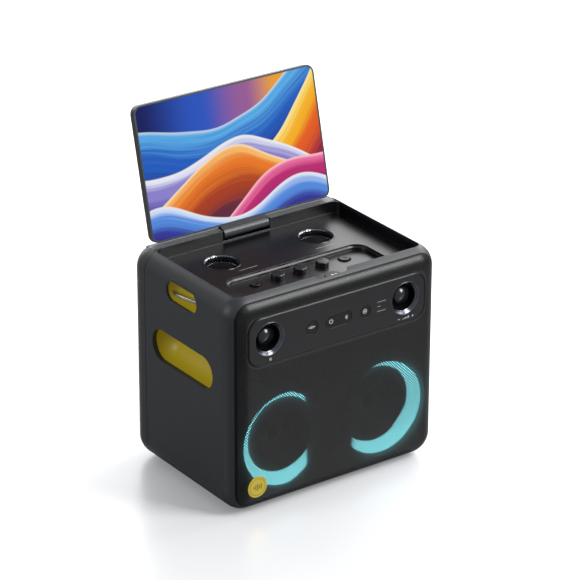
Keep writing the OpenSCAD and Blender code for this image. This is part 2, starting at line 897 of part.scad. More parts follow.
// Space of the trough: straight, a bright chamfer, then straight again
module trough_space() {
  front = -deck_front;
  l = 2 * (trough_y - front);
  shelf = 2.4;
  c = 2;
  intersection() {
    translate([0, trough_y - l / 2, 0]) {
      translate([0, 0, floor_z - shelf]) linear_extrude(cut)
        round_rect(trough_w, l, trough_r);
      translate([0, 0, floor_z - shelf - c])
        chamfered_plan(trough_w, l, trough_r - c, c);
      translate([0, 0, trough_z]) linear_extrude(floor_z - shelf - c - trough_z + eps)
        round_rect(trough_w - 2 * c, l - 2 * c, trough_r - c);
    }
    translate([-big / 2, front, 0]) cube([big, big, big]);
  }
}

module deck_tray() color([0.06, 0.06, 0.065]) place() {
  base = floor_z - tray_t;
  groove_deep = 0.8;
  difference() {
    union() {
      translate([0, 0, base]) linear_extrude(tray_rim_z - base) deck_plan(2);
      translate([0, 0, base]) linear_extrude(ledge_z - base) intersection() {
        deck_plan(2);
        translate([tray_side - deck_w / 2, ledge_y - deck_r])
          square([deck_w - 2 * tray_side, big]);
      }
      l = trough_y + tray_t + deck_front + 2;
      translate([0, 0, trough_z - tray_t]) linear_extrude(base - trough_z + tray_t)
        intersection() {
          translate([0, trough_y + tray_t - l])
            round_rect(trough_w + 2 * tray_t, 2 * l, trough_r + tray_t);
          translate([-big / 2, -deck_front - 2]) square(big);
        }
      translate([0, 0, notch_z - lining_t]) linear_extrude(lining_h) notch_plan(1.3);
    }
    translate([0, 0, floor_z]) linear_extrude(big / 4) deck_plan(0);
    trough_space();
    translate([0, 0, notch_z]) linear_extrude(big / 4) notch_plan(0);
    translate([-hinge_notch_w / 2, ledge_y - 1, cover_z]) cube([hinge_notch_w, cut, cut]);
    for (s = [-1, 1]) {
      translate([s * mic_x, mic_y, base - 1]) cylinder(r = mic_wall_r + 0.1, h = cut);
      translate([s * ring_x, row_y, 0]) {
        cylinder(r = ring_r + slip, h = big);
        translate([0, 0, trough_z - groove_deep]) cylinder(r = ring_groove_r, h = cut);
      }
    }
    for (i = [-1, 0, 1])
      translate([i * knob_pitch, row_y, 0]) cylinder(r = shaft_r + bore_gap, h = big);
    translate([play_x, play_y, 0]) cylinder(r = play_r + slip, h = big);
    translate([small_x, small_y, 0]) cylinder(r = small_r + slip, h = big);
  }
}

// Ledge over the hinge, with the notch for its barrel
module hinge_cover() color([0.17, 0.175, 0.18]) place() {
  depth = ledge_back_y - cover_y;
  w = deck_w - 2 * tray_side;
  side_t = 2.5;
  back_t = 2;
  top_t = 2.4;
  notch_d = 12.2;
  difference() {
    translate([-w / 2, cover_y, cover_z]) cube([w, depth, ledge_z - cover_z]);
    translate([side_t - w / 2, cover_y - 1, cover_z - 1])
      cube([w - 2 * side_t, depth + 1 - back_t, ledge_z - cover_z + 1 - top_t]);
    translate([-hinge_notch_w / 2, cover_y - 1, cover_z - 1])
      cube([hinge_notch_w, notch_d + 1, cut]);
  }
}

module mic_ring(s) color([0.62, 0.63, 0.65]) place() {
  lip_h = 0.6;
  lip_cut = 1.4;
  flute_r = 1.2;
  bottom = mic_floor_z + 1;
  translate([s * mic_x, mic_y, 0]) difference() {
    union() {
      translate([0, 0, bottom]) cylinder(r = mic_wall_r, h = floor_z - bottom);
      translate([0, 0, floor_z]) cylinder(r1 = mic_r, r2 = mic_r - 0.5, h = lip_h);
    }
    translate([0, 0, bottom - 1]) cylinder(r = mic_in_r, h = cut);
    translate([0, 0, floor_z - lip_cut])
      cylinder(r1 = mic_in_r, r2 = mic_wall_r + 0.1, h = lip_h + lip_cut + 0.1);
    for (i = [0 : mic_flutes - 1]) rotate([0, 0, i * 360 / mic_flutes])
      translate([mic_in_r, 0, bottom + 1]) cylinder(r = flute_r, h = cut, $fn = 16);
  }
}

module mic_cups() color([0.03, 0.03, 0.03]) place() {
  base_t = 2.5;
  for (s = [-1, 1]) translate([s * mic_x, mic_y, mic_floor_z]) {
    translate([0, 0, -base_t]) cylinder(r = mic_wall_r, h = base_t);
    difference() {
      cylinder(r = mic_wall_r, h = 1);
      translate([0, 0, -1]) cylinder(r = mic_in_r, h = 3);
    }
  }
}

module mic_pads() color([0.07, 0.07, 0.075]) place() {
  dome_r = 62;
  crown = 7.6;
  for (s = [-1, 1]) translate([s * mic_x, mic_y, mic_floor_z]) intersection() {
    cylinder(r = mic_pad_r, h = crown);
    translate([0, 0, crown - dome_r]) sphere(r = dome_r);
  }
}

module deck_knob(i) color([0.13, 0.13, 0.14]) place() {
  bevel = 0.9;
  mark_w = 1.2;
  mark_deep = 0.5;
  shaft_l = 8;
  translate([i * knob_pitch, row_y, trough_z + 0.3]) {
    difference() {
      union() {
        cylinder(r = knob_r, h = knob_h - bevel);
        translate([0, 0, knob_h - bevel])
          cylinder(r1 = knob_r, r2 = knob_r - bevel, h = bevel);
      }
      translate([-mark_w / 2, 2, knob_h - mark_deep]) cube([mark_w, knob_r, 1]);
    }
    translate([0, 0, -shaft_l]) cylinder(r = shaft_r, h = shaft_l + eps);
  }
}

// Deck button: a cap through the trough's floor, a flange under it and a stem
module deck_cap(r) {
  under = -tray_t - slip;
  bevel = 0.4;
  flange_t = 1.6;
  stem_l = 2.6;
  translate([0, 0, under]) cylinder(r = r, h = cap_up - bevel - under);
  translate([0, 0, cap_up - bevel]) cylinder(r1 = r, r2 = r - bevel, h = bevel);
  translate([0, 0, under - flange_t]) cylinder(r = r + 1.1, h = flange_t);
  translate([0, 0, under - flange_t - stem_l]) cylinder(r = 2, h = stem_l);
}

module ring_button(s) color([0.16, 0.16, 0.17]) place() {
  hollow_r = 14;
  hollow_deep = 0.6;
  translate([s * ring_x, row_y, trough_z]) difference() {
    deck_cap(ring_r);
    translate([0, 0, cap_up + hollow_r - hollow_deep]) sphere(r = hollow_r);
  }
}

module play_button() color([0.15, 0.15, 0.16]) place() {
  translate([play_x, play_y, trough_z]) deck_cap(play_r);
}

module small_button() color([0.15, 0.15, 0.16]) place() {
  translate([small_x, small_y, trough_z]) deck_cap(small_r);
}

// Board under the trough, hung on three posts, with a switch below each button
module deck_board() color([0.05, 0.25, 0.12]) place() {
  size = [190, 75];
  front = -95;
  post_in = 5;
  buttons = [[-ring_x, row_y], [ring_x, row_y], [play_x, play_y], [small_x, small_y]];
  translate([-size[0] / 2, front, board_z - board_t]) cube([size[0], size[1], board_t]);
  for (p = buttons) translate([p[0] - switch_w / 2, p[1] - switch_w / 2, board_z])
    cube([switch_w, switch_w, switch_h + 0.6]);
  for (i = [-1, 0, 1]) translate([i * (size[0] / 2 - post_in), front + post_in, board_z])
    cylinder(r = shaft_r, h = trough_z - tray_t - board_z);
}

// Five rotary encoders: three under the trough, one behind each dish
module rotary_encoders() color([0.45, 0.45, 0.47]) place() {
  deck_h = trough_z - tray_t - board_z;
  deck_side = 13;
  dish_side = 14;
  dish_h = 9;
  bore_l = 6.5;
  for (i = [-1, 0, 1]) translate([i * knob_pitch, row_y, board_z]) difference() {
    translate([-deck_side / 2, -deck_side / 2, 0]) cube([deck_side, deck_side, deck_h]);
    translate([0, 0, 1.5]) cylinder(r = shaft_r + bore_gap, h = cut);
  }
  for (s = [-1, 1])
    translate([s * dish_x, panel_y + dish_deep + dish_floor, dish_z]) rotate([-90, 0, 0])
      difference() {
        translate([-dish_side / 2, -dish_side / 2, 0]) cube([dish_side, dish_side, dish_h]);
        translate([0, 0, -1]) cylinder(r = shaft_r + bore_gap, h = 1 + bore_l);
      }
}

/* Screen, in its own frame: z up the screen from the hinge axis, y backwards */

module on_hinge() {
  translate([0, hinge_y, hinge_z]) children();
}

module on_screen() {
  on_hinge() rotate([-screen_tilt, 0, 0]) children();
}

module screen_outline(inset) {
  translate([0, screen_from_axis + screen_h / 2])
    round_rect(screen_w - 2 * inset, screen_h - 2 * inset, screen_r - inset);
}

module screen_back() color([0.15, 0.155, 0.16]) place() on_screen() {
  step = 4;
  difference() {
    backwards(0) linear_extrude(screen_t) screen_outline(0);
    backwards(-1) linear_extrude(1 + glass_in + glass_t + bore_gap) screen_outline(bezel);
    backwards(-1) linear_extrude(screen_t + 1 - screen_skin) screen_outline(bezel + step);
  }
}

module screen_glass() color([0.25, 0.35, 0.75]) place() on_screen() {
  backwards(glass_in) linear_extrude(glass_t) screen_outline(bezel + glass_in);
}

module lcd_module() color([0.45, 0.46, 0.48]) place() on_screen() {
  backwards(glass_in + glass_t + bore_gap)
    linear_extrude(screen_t - screen_skin - glass_in - glass_t - bore_gap)
    screen_outline(bezel + 4.5);
}

// Barrel of the hinge and the neck that carries the screen
module hinge_barrel() color([0.17, 0.175, 0.18]) place() on_screen() {
  neck_t = 6.4;
  difference() {
    union() {
      rotate([0, 90, 0]) cylinder(r = barrel_r, h = barrel_l, center = true);
      translate([-barrel_l / 2, 0, 0]) cube([barrel_l, neck_t, screen_from_axis]);
    }
    rotate([0, 90, 0]) cylinder(r = pin_r + bore_gap, h = big, center = true);
  }
}

module hinge_pin() color([0.7, 0.7, 0.72]) place() on_hinge() {
  rotate([0, 90, 0]) cylinder(r = pin_r, h = pin_l, center = true);
}

// Two eyes that hold the pin, each on a foot against the tray's rear wall
module hinge_brackets() color([0.4, 0.4, 0.42]) place() on_hinge() {
  l = 20;
  eye_r = 3.6;
  foot_size = [l, 7.5, 12];
  both_sides() difference() {
    intersection() {
      translate([-pin_l / 2, 0, 0]) {
        rotate([0, 90, 0]) cylinder(r = eye_r, h = l);
        translate([0, -8, -9]) cube(foot_size);
      }
      translate([-big / 2, cover_y - hinge_y, -big / 2]) cube(big);
    }
    rotate([0, 90, 0]) cylinder(r = pin_r + eps, h = big, center = true);
  }
}

/* Rear and inside */

// Shallow tray behind the cover's window: its rim lies against the cover's inside
module io_panel() color([0.07, 0.07, 0.075]) place() {
  rim = 4;
  play = 0.1;
  difference() {
    backwards(io_plate_y) linear_extrude(back_y - wall - io_plate_y)
      translate([0, io_z]) round_rect(io_w + 2 * rim, io_h + 2 * rim, 2 * rim);
    backwards(socket_face_y) linear_extrude(cut)
      translate([0, io_z]) round_rect(io_w, io_h, 2 * wall);
    backwards(io_plate_y - 1) linear_extrude(cut) translate([0, io_z]) {
      for (x = concat(mic_jack_x, [power_x])) translate([x, 0]) circle(socket_r + play);
      translate([line_jack_x, 0]) circle(line_socket_r + play);
      translate([data_x, 0]) square(data_size + [2 * play, 2 * play], center = true);
    }
  }
}

// Round socket with a blind bore, its mouth to the rear
module round_socket(x, r, bore_r, bore_l) {
  translate([x, socket_face_y, io_z]) rotate([90, 0, 0]) difference() {
    cylinder(r = r, h = socket_l);
    translate([0, 0, -1]) cylinder(r = bore_r, h = bore_l + 1);
  }
}

// Two microphone sockets, a line socket and a data socket
module jack_sockets() color([0.3, 0.3, 0.32]) place() {
  line_bore = [1.8, 13];
  slot = [9, 3.2];
  slot_l = 8;
  for (x = mic_jack_x) round_socket(x, socket_r, jack_r, jack_l);
  round_socket(line_jack_x, line_socket_r, line_bore[0], line_bore[1]);
  difference() {
    backwards(socket_face_y - socket_l) linear_extrude(socket_l)
      translate([data_x, io_z]) square(data_size, center = true);
    backwards(socket_face_y - slot_l) linear_extrude(slot_l + 1)
      translate([data_x, io_z]) square(slot, center = true);
  }
}

// Power inlet: a barrel with a centre contact pressed through its bottom
module power_inlet() color([0.3, 0.3, 0.32]) place() {
  contact_r = 1;
  bore = [3, 11];
  difference() {
    round_socket(power_x, socket_r, bore[0], bore[1]);
    backwards(socket_face_y - socket_l - 1) linear_extrude(socket_l)
      translate([power_x, io_z]) circle(contact_r + bore_gap);
  }
  backwards(socket_face_y - socket_l) linear_extrude(socket_l - 1)
    translate([power_x, io_z]) circle(contact_r);
}

module main_board() color([0.05, 0.25, 0.12]) place() {
  w = 160;
  h = 50;
  post_in = [6, 4];
  chips = [[-13, -1, [34, 34], 8], [33, 1, [26, 26], 5]];
  standoff_y = socket_face_y - socket_l;
  backwards(standoff_y - board_t) linear_extrude(board_t)
    translate([0, io_z]) round_rect(w, h, 2);
  for (sx = [-1, 1], sz = [-1, 1])
    backwards(standoff_y) linear_extrude(io_plate_y - standoff_y)
      translate([sx * (w / 2 - post_in[0]), io_z + sz * (h / 2 - post_in[1])]) circle(3);
  for (chip = chips)
    backwards(standoff_y - board_t - chip[3]) linear_extrude(chip[3])
      translate([chip[0], io_z + chip[1]]) square(chip[2], center = true);
}

module bass_port() color([0.05, 0.05, 0.05]) place() {
  tube_t = 3;
  flare = 2.2;
  sunk = 0.3;
  translate([0, back_y - sunk, port_z]) rotate([90, 0, 0]) difference() {
    cylinder(r = port_r, h = port_l);
    translate([0, 0, -1]) cylinder(r = port_r - tube_t, h = port_l + 2);
    translate([0, 0, -eps])
      cylinder(r1 = port_r - tube_t + flare, r2 = port_r - tube_t, h = flare);
  }
}

module battery_pack() color([0.10, 0.16, 0.28]) place() {
  size = [130, 80, 52];
  middle = [70, 20];
  translate([middle[0], middle[1], wall]) linear_extrude(size[2])
    round_rect(size[0], size[1], 8);
}

// Amplifier board on four posts, with a finned heat sink
module amp_board() color([0.4, 0.41, 0.43]) place() {
  size = [110, 78];
  at = [-146, -25];
  post_h = 7;
  top_z = wall + post_h + board_t;
  sink = [60, 32, 4];
  sink_at = [20, 25];
  fins = 8;
  fin_t = 2.5;
  fin_h = 18;
  post_in = 6;
  translate([at[0], at[1], wall + post_h]) cube([size[0], size[1], board_t]);
  for (x = [post_in, size[0] - post_in], y = [post_in, size[1] - post_in])
    translate([at[0] + x, at[1] + y, wall]) cylinder(r = 3, h = post_h);
  translate([at[0] + sink_at[0], at[1] + sink_at[1], top_z]) {
    cube(sink);
    for (i = [0 : fins - 1]) translate([i * sink[0] / fins, 0, sink[2]])
      cube([fin_t, sink[1], fin_h]);
  }
}

front_housing();
rear_cover();
seam_gasket();
deck_tray();
hinge_cover();
front_baffle();
grille();
control_panel();
dish_ring(-1);  // dish_ring_left
dish_ring(1);  // dish_ring_right
dish_cup(-1);  // dish_cup_left
dish_cup(1);  // dish_cup_right
badge();
mic_ring(-1);  // mic_ring_left
mic_ring(1);  // mic_ring_right
mic_cups();
mic_pads();
hinge_pin();
hinge_brackets();
place() grip_cup();  // grip_cup_left
place() mirror([1, 0, 0]) grip_cup();  // grip_cup_right
place() lug_cup();  // lug_cup_left
place() mirror([1, 0, 0]) lug_cup();  // lug_cup_right
place() strap_bar();  // strap_bar_left
place() mirror([1, 0, 0]) strap_bar();  // strap_bar_right
light_ring(-1);  // light_ring_left
light_ring(1);  // light_ring_right
woofer_frame(-1);  // woofer_frame_left
woofer_frame(1);  // woofer_frame_right
woofer_cone(-1);  // woofer_cone_left
woofer_cone(1);  // woofer_cone_right
woofer_magnets();
bass_port();
io_panel();
jack_sockets();
power_inlet();
battery_pack();
main_board();
amp_board();
button_board();
deck_board();
rotary_encoders();
feet();
cover_screws();
screen_back();
screen_glass();
lcd_module();
hinge_barrel();
dish_knob(-1);  // dish_knob_left
dish_knob(1);  // dish_knob_right
deck_knob(-1);  // deck_knob_left
deck_knob(0);  // deck_knob_centre
deck_knob(1);  // deck_knob_right
ring_button(-1);  // ring_button_left
ring_button(1);  // ring_button_right
play_button();
small_button();
bass_button();
power_rocker();
mode_button();
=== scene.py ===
import math
from collections import Counter

import bpy
import numpy as np
from mathutils import Matrix, Vector
from mathutils.geometry import delaunay_2d_cdt


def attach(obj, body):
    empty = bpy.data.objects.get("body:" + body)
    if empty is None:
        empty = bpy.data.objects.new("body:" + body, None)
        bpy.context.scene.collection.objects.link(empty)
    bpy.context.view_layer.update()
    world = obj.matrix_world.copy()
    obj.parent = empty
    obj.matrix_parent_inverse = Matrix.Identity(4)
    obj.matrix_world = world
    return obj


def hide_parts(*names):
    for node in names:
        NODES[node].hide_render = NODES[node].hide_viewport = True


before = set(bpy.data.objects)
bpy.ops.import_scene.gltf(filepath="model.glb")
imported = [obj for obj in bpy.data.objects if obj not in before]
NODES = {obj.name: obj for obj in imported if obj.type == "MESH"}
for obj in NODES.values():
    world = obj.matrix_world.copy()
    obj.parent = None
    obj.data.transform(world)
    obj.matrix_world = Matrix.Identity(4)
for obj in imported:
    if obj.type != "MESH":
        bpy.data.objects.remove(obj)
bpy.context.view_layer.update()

# ---------------------------------------------------------------- frame and measures
# Lengths are millimetres in the cabinet's own frame: x right, y back, z up, z = 0 under
# the cabinet. at() takes them to the row frame in metres. A rounded rectangle is its half
# width, half height and corner radius.
SHIFT_Y, FOOT = 13.857744, 3.0
FRONT_Y, PANEL_Y, PANEL_CAP_Y = -126.0, -126.6, -126.3
DECK_Z, DECK_CAP_Z = 300.9, 295.0
BUTTON_Z = 255.0
PANEL, PANEL_Z, RIM_W = (149.5, 36.4, 21.0), 254.9, 2.8
GRILLE_Z = 161.0
COVERED, COVERED_EDGE, COVERED_BACK_Y = (166.1, 152.1, 23.1), 0.4, -104.0
DISH_X, DISH_Z, DOME_R = 114.5, 256.6, 14.0
RING_X, ROW_Y, GROOVE_OUT, GROOVE_IN = 75.1, -37.0, 10.2, 9.6
LIP_START, LIP_END = DECK_Z - 0.5, DECK_Z - 0.1
BADGE_X, BADGE_Z, BADGE_T = -135.0, 39.0, 1.1
TILT = math.radians(13.6)
SCREEN_AXIS = (0.0, 97.5, 312.5)
SCREEN_START, SCREEN_W, SCREEN_H, BEZEL = 10.48, 303.0, 194.0, 2.5


def at(x, y, z):
    return (x / 1000, (y - SHIFT_Y) / 1000, (z + FOOT) / 1000)


def at_all(points):
    return (np.asarray(points, float) - (0, SHIFT_Y, -FOOT)) / 1000


def srgb(r, g, b):
    """Linear colour of an sRGB colour given as 0 to 255."""
    return tuple((c / 255) ** 2.2 for c in (r, g, b)) + (1.0,)


# ---------------------------------------------------------------- mesh making
def add_object(name, data):
    ob = bpy.data.objects.new(name, data)
    bpy.context.scene.collection.objects.link(ob)
    return ob


def mesh_of(name, verts, faces):
    """One object from row-frame vertices and a list of index arrays, one per corner count."""
    me = bpy.data.meshes.new(name)
    counts = np.concatenate([np.full(len(f), f.shape[1]) for f in faces if len(f)])
    loops = np.concatenate([f.ravel() for f in faces if len(f)])
    me.vertices.add(len(verts))
    me.vertices.foreach_set("co", np.asarray(verts, np.float32).ravel())
    me.loops.add(len(loops))
    me.loops.foreach_set("vertex_index", loops.astype(np.int32))
    me.polygons.add(len(counts))
    starts = np.concatenate([[0], np.cumsum(counts)[:-1]])
    me.polygons.foreach_set("loop_start", starts.astype(np.int32))
    me.polygons.foreach_set("use_smooth", np.zeros(len(counts), bool))
    me.update(calc_edges=True)
    me.validate()
    return add_object(name, me)


# ---------------------------------------------------------------- shader making
class Graph:
    """A material with one principled surface, and short names for its node calls."""

    def __init__(self, name):
        self.material = bpy.data.materials.new(name)
        self.material.use_nodes = True
        self.tree = self.material.node_tree
        self.tree.nodes.clear()
        self.bsdf = self.node("BsdfPrincipled")
        self.node("OutputMaterial", Surface=self.bsdf.outputs[0])

    def put(self, socket, value):
        """Links or sets one input."""
        if isinstance(value, bpy.types.NodeSocket):
            self.tree.links.new(value, socket)
        elif value is not None:
            socket.default_value = value

    def fill(self, node, inputs):
        """Links or sets inputs by name; an underscore stands for a space."""
        for key, value in inputs.items():
            self.put(node.inputs[key.replace("_", " ")], value)
        return node

    def node(self, kind, **inputs):
        return self.fill(self.tree.nodes.new("ShaderNode" + kind), inputs)

    def surface(self, **inputs):
        self.fill(self.bsdf, inputs)

    def linked(self, socket):
        """The output that feeds an input of the surface."""
        return self.bsdf.inputs[socket].links[0].from_socket

    def math(self, op, a, b=None, c=None, clamp=False):
        n = self.node("Math")
        n.operation, n.use_clamp = op, clamp
        for socket, value in zip(n.inputs, (a, b, c)):
            self.put(socket, value)
        return n.outputs[0]

    def squares(self, a, b):
        """a squared plus b squared."""
        return self.math("ADD", self.math("MULTIPLY", a, a), self.math("MULTIPLY", b, b))

    def length(self, a, b):
        return self.math("SQRT", self.squares(a, b))

    def mix(self, factor, a, b):
        n = self.node("Mix")
        n.data_type = "RGBA"
        for place, value in ((0, factor), (6, a), (7, b)):
            self.put(n.inputs[place], value)
        return n.outputs[2]

    def noise(self, vector, scale, detail=2.0, rough=0.5):
        n = self.node("TexNoise", Vector=vector, Scale=scale, Detail=detail, Roughness=rough)
        return n.outputs["Fac"]

    def ramp(self, value, stops):
        """Colour along (place, (r, g, b)) stops."""
        n = self.node("ValToRGB", Fac=value)
        n.color_ramp.interpolation = "EASE"
        points = n.color_ramp.elements
        while len(points) < len(stops):
            points.new(0.5)
        for point, (place, colour) in zip(points, stops):
            point.position, point.color = place, srgb(*colour)
        return n.outputs[0]

    def span(self, value, a, b, c=0.0, d=1.0, smooth=True):
        """value from a to b, taken to c to d and held there outside."""
        n = self.node("MapRange")
        n.interpolation_type = "SMOOTHSTEP" if smooth else "LINEAR"
        for socket, v in zip(n.inputs, (value, a, b, c, d)):
            self.put(socket, v)
        return n.outputs[0]

    def coordinates(self):
        return self.node("TexCoord").outputs["Object"]

    def camera_ray(self):
        return self.node("LightPath").outputs["Is Camera Ray"]

    def mm(self, axis, less=0.0):
        """x, y or z in the cabinet's own frame, in millimetres, less an amount."""
        k = "xyz".index(axis)
        part = self.node("SeparateXYZ", Vector=self.coordinates()).outputs[k]
        return self.math("MULTIPLY_ADD", part, 1000.0, (0.0, SHIFT_Y, -FOOT)[k] - less)

    def cover(self, factor, colour, rough):
        """Another colour and roughness where factor is 1."""
        grey = (rough, rough, rough, 1.0)
        self.surface(Base_Color=self.mix(factor, self.linked("Base Color"), colour),
                     Roughness=self.mix(factor, self.linked("Roughness"), grey))

    def tilted(self, height, distance):
        """The shading normal, tilted as if the surface rose by height times distance."""
        return self.node("Bump", Strength=1.0, Distance=distance, Height=height,
                         Normal=self.linked("Normal")).outputs[0]


CLOUD_SCALE, CLOUD_SHARE, SPECK_SHARE = 28.0, 0.6, 0.4
GRAIN_DEPTH, ROUGH_SPREAD, COAT_ROUGH = 0.0002, 0.12, 0.15
# Most of a noise's values lie between these
NOISE_LOW, NOISE_HIGH = 0.3, 0.7
# Radius in metres to which the deck's and the panel's edges are softened
WIDE_EDGE = 0.0012


def finish_of(name, colour, rough=0.45, metal=0.0, grain=1400.0, bump=0.06, edge=0.0006,
              tone=0.12, spec=0.5, coat=0.0, stretch=None):
    """A moulded, painted or metal finish: uneven tone, fine grain and softened edges."""
    g = Graph(name)
    here = g.coordinates()
    fine = g.node("Mapping", Vector=here, Scale=stretch).outputs[0] if stretch else here
    cloud = g.noise(here, CLOUD_SCALE, 3.0)
    speck = g.noise(fine, grain, 3.0, 0.6)
    dark = tuple(c * (1 - tone) for c in colour[:3]) + (1.0,)
    light = tuple(min(1.0, c * (1 + tone)) for c in colour[:3]) + (1.0,)
    blend = g.math("ADD", g.math("MULTIPLY", cloud, CLOUD_SHARE),
                   g.math("MULTIPLY", speck, SPECK_SHARE))
    softened = None
    if edge:
        bevel = g.node("Bevel", Radius=edge)
        bevel.samples = 4
        softened = bevel.outputs[0]
    grained = g.node("Bump", Strength=bump, Distance=GRAIN_DEPTH, Height=speck, Normal=softened)
    g.surface(Base_Color=g.mix(blend, dark, light),
              Roughness=g.span(speck, NOISE_LOW, NOISE_HIGH, rough * (1 - ROUGH_SPREAD),
                               rough * (1 + ROUGH_SPREAD)),
              Metallic=metal, Specular_IOR_Level=spec, Coat_Weight=coat,
              Coat_Roughness=COAT_ROUGH, Normal=grained.outputs[0])
    return g


def wear(graph, *nodes):
    for n in nodes:
        ob = NODES[n]
        ob.data.materials.clear()
        ob.data.materials.append(graph.material)


# ---------------------------------------------------------------- finishes of the CAD nodes
shell = finish_of("satin_shell", srgb(46, 48, 51), rough=0.42, grain=1100, bump=0.10, spec=0.45)
ledge = finish_of("ledge_grey", srgb(82, 85, 89), rough=0.42, grain=1300)
dark_shell = finish_of("screen_shell", srgb(52, 55, 58), rough=0.40, grain=1500, bump=0.05)
deck = finish_of("deck_black", srgb(17, 17, 19), rough=0.30, grain=1300, bump=0.05,
                 edge=WIDE_EDGE)
panel = finish_of("panel_black", srgb(22, 22, 24), rough=0.32, grain=1500, bump=0.05, spec=0.4,
                  edge=WIDE_EDGE)
baffle = finish_of("baffle_black", srgb(22, 22, 24), rough=0.7)
ring_metal = finish_of("polished_ring", srgb(102, 104, 112), rough=0.22, metal=1.0, bump=0.01,
                       tone=0.04)
well_metal = finish_of("well_ring", srgb(176, 178, 184), rough=0.2, bump=0.01, tone=0.04, edge=0)
cup = finish_of("cup_black", srgb(9, 9, 10), rough=0.6, spec=0.2)
pad = finish_of("pad_rubber", srgb(9, 9, 10), rough=0.85, bump=0.12, spec=0.1)
knob = finish_of("knob_black", srgb(22, 22, 24), rough=0.30, bump=0.03)
lens_knob = finish_of("dome_black", srgb(30, 31, 36), rough=0.22, bump=0.01, coat=0.6)
button = finish_of("button_black", srgb(14, 14, 15), rough=0.40, spec=0.35)
yellow = finish_of("pocket_yellow", srgb(196, 174, 36), rough=0.40, bump=0.05, tone=0.05)
badge_gold = finish_of("badge_gold", srgb(200, 178, 62), rough=0.36, metal=0.35, bump=0.04,
                       tone=0.05, stretch=(1.0, 1.0, 18.0))
steel = finish_of("bar_steel", srgb(190, 191, 194), rough=0.2, metal=1.0, bump=0.02, tone=0.04)
frame_metal = finish_of("frame_steel", srgb(46, 46, 48), rough=0.5, metal=0.6)
paper = finish_of("cone_paper", srgb(26, 26, 27), rough=0.8, grain=900, bump=0.3)
iron = finish_of("magnet_iron", srgb(120, 120, 124), rough=0.4, metal=0.9)
green = finish_of("board_green", srgb(18, 84, 42), rough=0.4)
sink = finish_of("heat_sink", srgb(150, 152, 156), metal=0.9)
wrap = finish_of("battery_wrap", srgb(26, 48, 92), rough=0.35)
rubber = finish_of("rubber_black", srgb(20, 20, 21), rough=0.7, bump=0.2)
mesh_black = finish_of("mesh_black", srgb(18, 19, 20), rough=0.32, bump=0.02, edge=0, spec=0.6)
# The grille's outer margin: darker and matt, painted shade in the seam round the grille
mesh_edge_shade = finish_of("mesh_edge_shade", srgb(14, 14, 15), rough=0.6, bump=0.02, edge=0, spec=0.2)
print_grey = finish_of("print_grey", srgb(150, 152, 156), rough=0.5, edge=0, bump=0.0)
print_white = finish_of("print_white", srgb(214, 216, 220), rough=0.5, edge=0, bump=0.0)
print_dark = finish_of("print_dark", srgb(70, 58, 16), rough=0.5, edge=0, bump=0.0)

wear(shell, "front_housing", "rear_cover")
wear(ledge, "hinge_cover")
wear(dark_shell, "screen_back", "hinge_barrel")
wear(deck, "deck_tray")
wear(panel, "control_panel", "io_panel")
wear(baffle, "front_baffle", "bass_port")
wear(ring_metal, "dish_ring_left", "dish_ring_right")
wear(well_metal, "mic_ring_left", "mic_ring_right")
wear(cup, "dish_cup_left", "dish_cup_right", "mic_cups")
wear(pad, "mic_pads")
wear(knob, "deck_knob_left", "deck_knob_centre", "deck_knob_right")
wear(lens_knob, "dish_knob_left", "dish_knob_right")
wear(button, "ring_button_left", "ring_button_right", "play_button", "small_button",
     "bass_button", "power_rocker", "mode_button")
wear(badge_gold, "badge")
wear(yellow, "grip_cup_left", "grip_cup_right", "lug_cup_left", "lug_cup_right")
wear(steel, "strap_bar_left", "strap_bar_right", "hinge_pin", "cover_screws")
wear(frame_metal, "woofer_frame_left", "woofer_frame_right", "hinge_brackets",
     "rotary_encoders", "jack_sockets", "power_inlet")
wear(paper, "woofer_cone_left", "woofer_cone_right")
wear(iron, "woofer_magnets")
wear(green, "button_board", "deck_board", "main_board")
wear(sink, "amp_board", "lcd_module")
wear(wrap, "battery_pack")
wear(rubber, "feet", "seam_gasket")


# ---------------------------------------------------------------- finishes that change in place
def outline_depth(g, outline, middle):
    """Distance in millimetres inwards from a rounded rectangle in the front's plane."""
    w, h, r = outline
    qx = g.math("SUBTRACT", g.math("ABSOLUTE", g.mm("x")), w - r)
    qz = g.math("SUBTRACT", g.math("ABSOLUTE", g.mm("z", middle)), h - r)
    outer = g.length(g.math("MAXIMUM", qx, 0.0), g.math("MAXIMUM", qz, 0.0))
    inner = g.math("MINIMUM", g.math("MAXIMUM", qx, qz), 0.0)
    return g.math("SUBTRACT", r, g.math("ADD", outer, inner))


# Roughness of parts that are drawn matt, and rises in metres
MATT, RIM_RISE, DOME_RISE = 0.9, 0.0019, 0.0058

# The panel slopes down to its outline
slope = panel.span(outline_depth(panel, PANEL, PANEL_Z), 0.0, RIM_W)
panel.surface(Normal=panel.tilted(slope, RIM_RISE))

# The dish knobs' caps are lit as low domes
across = lens_knob.math("SUBTRACT", lens_knob.math("ABSOLUTE", lens_knob.mm("x")), DISH_X)
dome = lens_knob.span(lens_knob.squares(across, lens_knob.mm("z", DISH_Z)), 0.0, DOME_R ** 2,
                      1.0, 0.0, smooth=False)
swell = lens_knob.tilted(dome, DOME_RISE)
lens_knob.surface(Normal=swell, Coat_Normal=swell)

# The wells' fluted rings turn from bright metal to the deck's black at their lips
lip = well_metal.span(well_metal.mm("z"), LIP_START, LIP_END)
well_metal.surface(
    Base_Color=well_metal.mix(lip, well_metal.linked("Base Color"), srgb(24, 24, 25)),
    Metallic=well_metal.math("SUBTRACT", 1.0, lip))

# The housing is painted matt near-black where the grille covers it: partly a black backing,
# partly painted shade seen through the holes
grille_shade_mask = shell.span(outline_depth(shell, COVERED, GRILLE_Z), 0.0, COVERED_EDGE)
ahead = shell.span(shell.mm("y"), COVERED_BACK_Y, COVERED_BACK_Y + 1.0, 1.0, 0.0)
shell.cover(shell.math("MULTIPLY", grille_shade_mask, ahead), srgb(8, 8, 9), MATT)
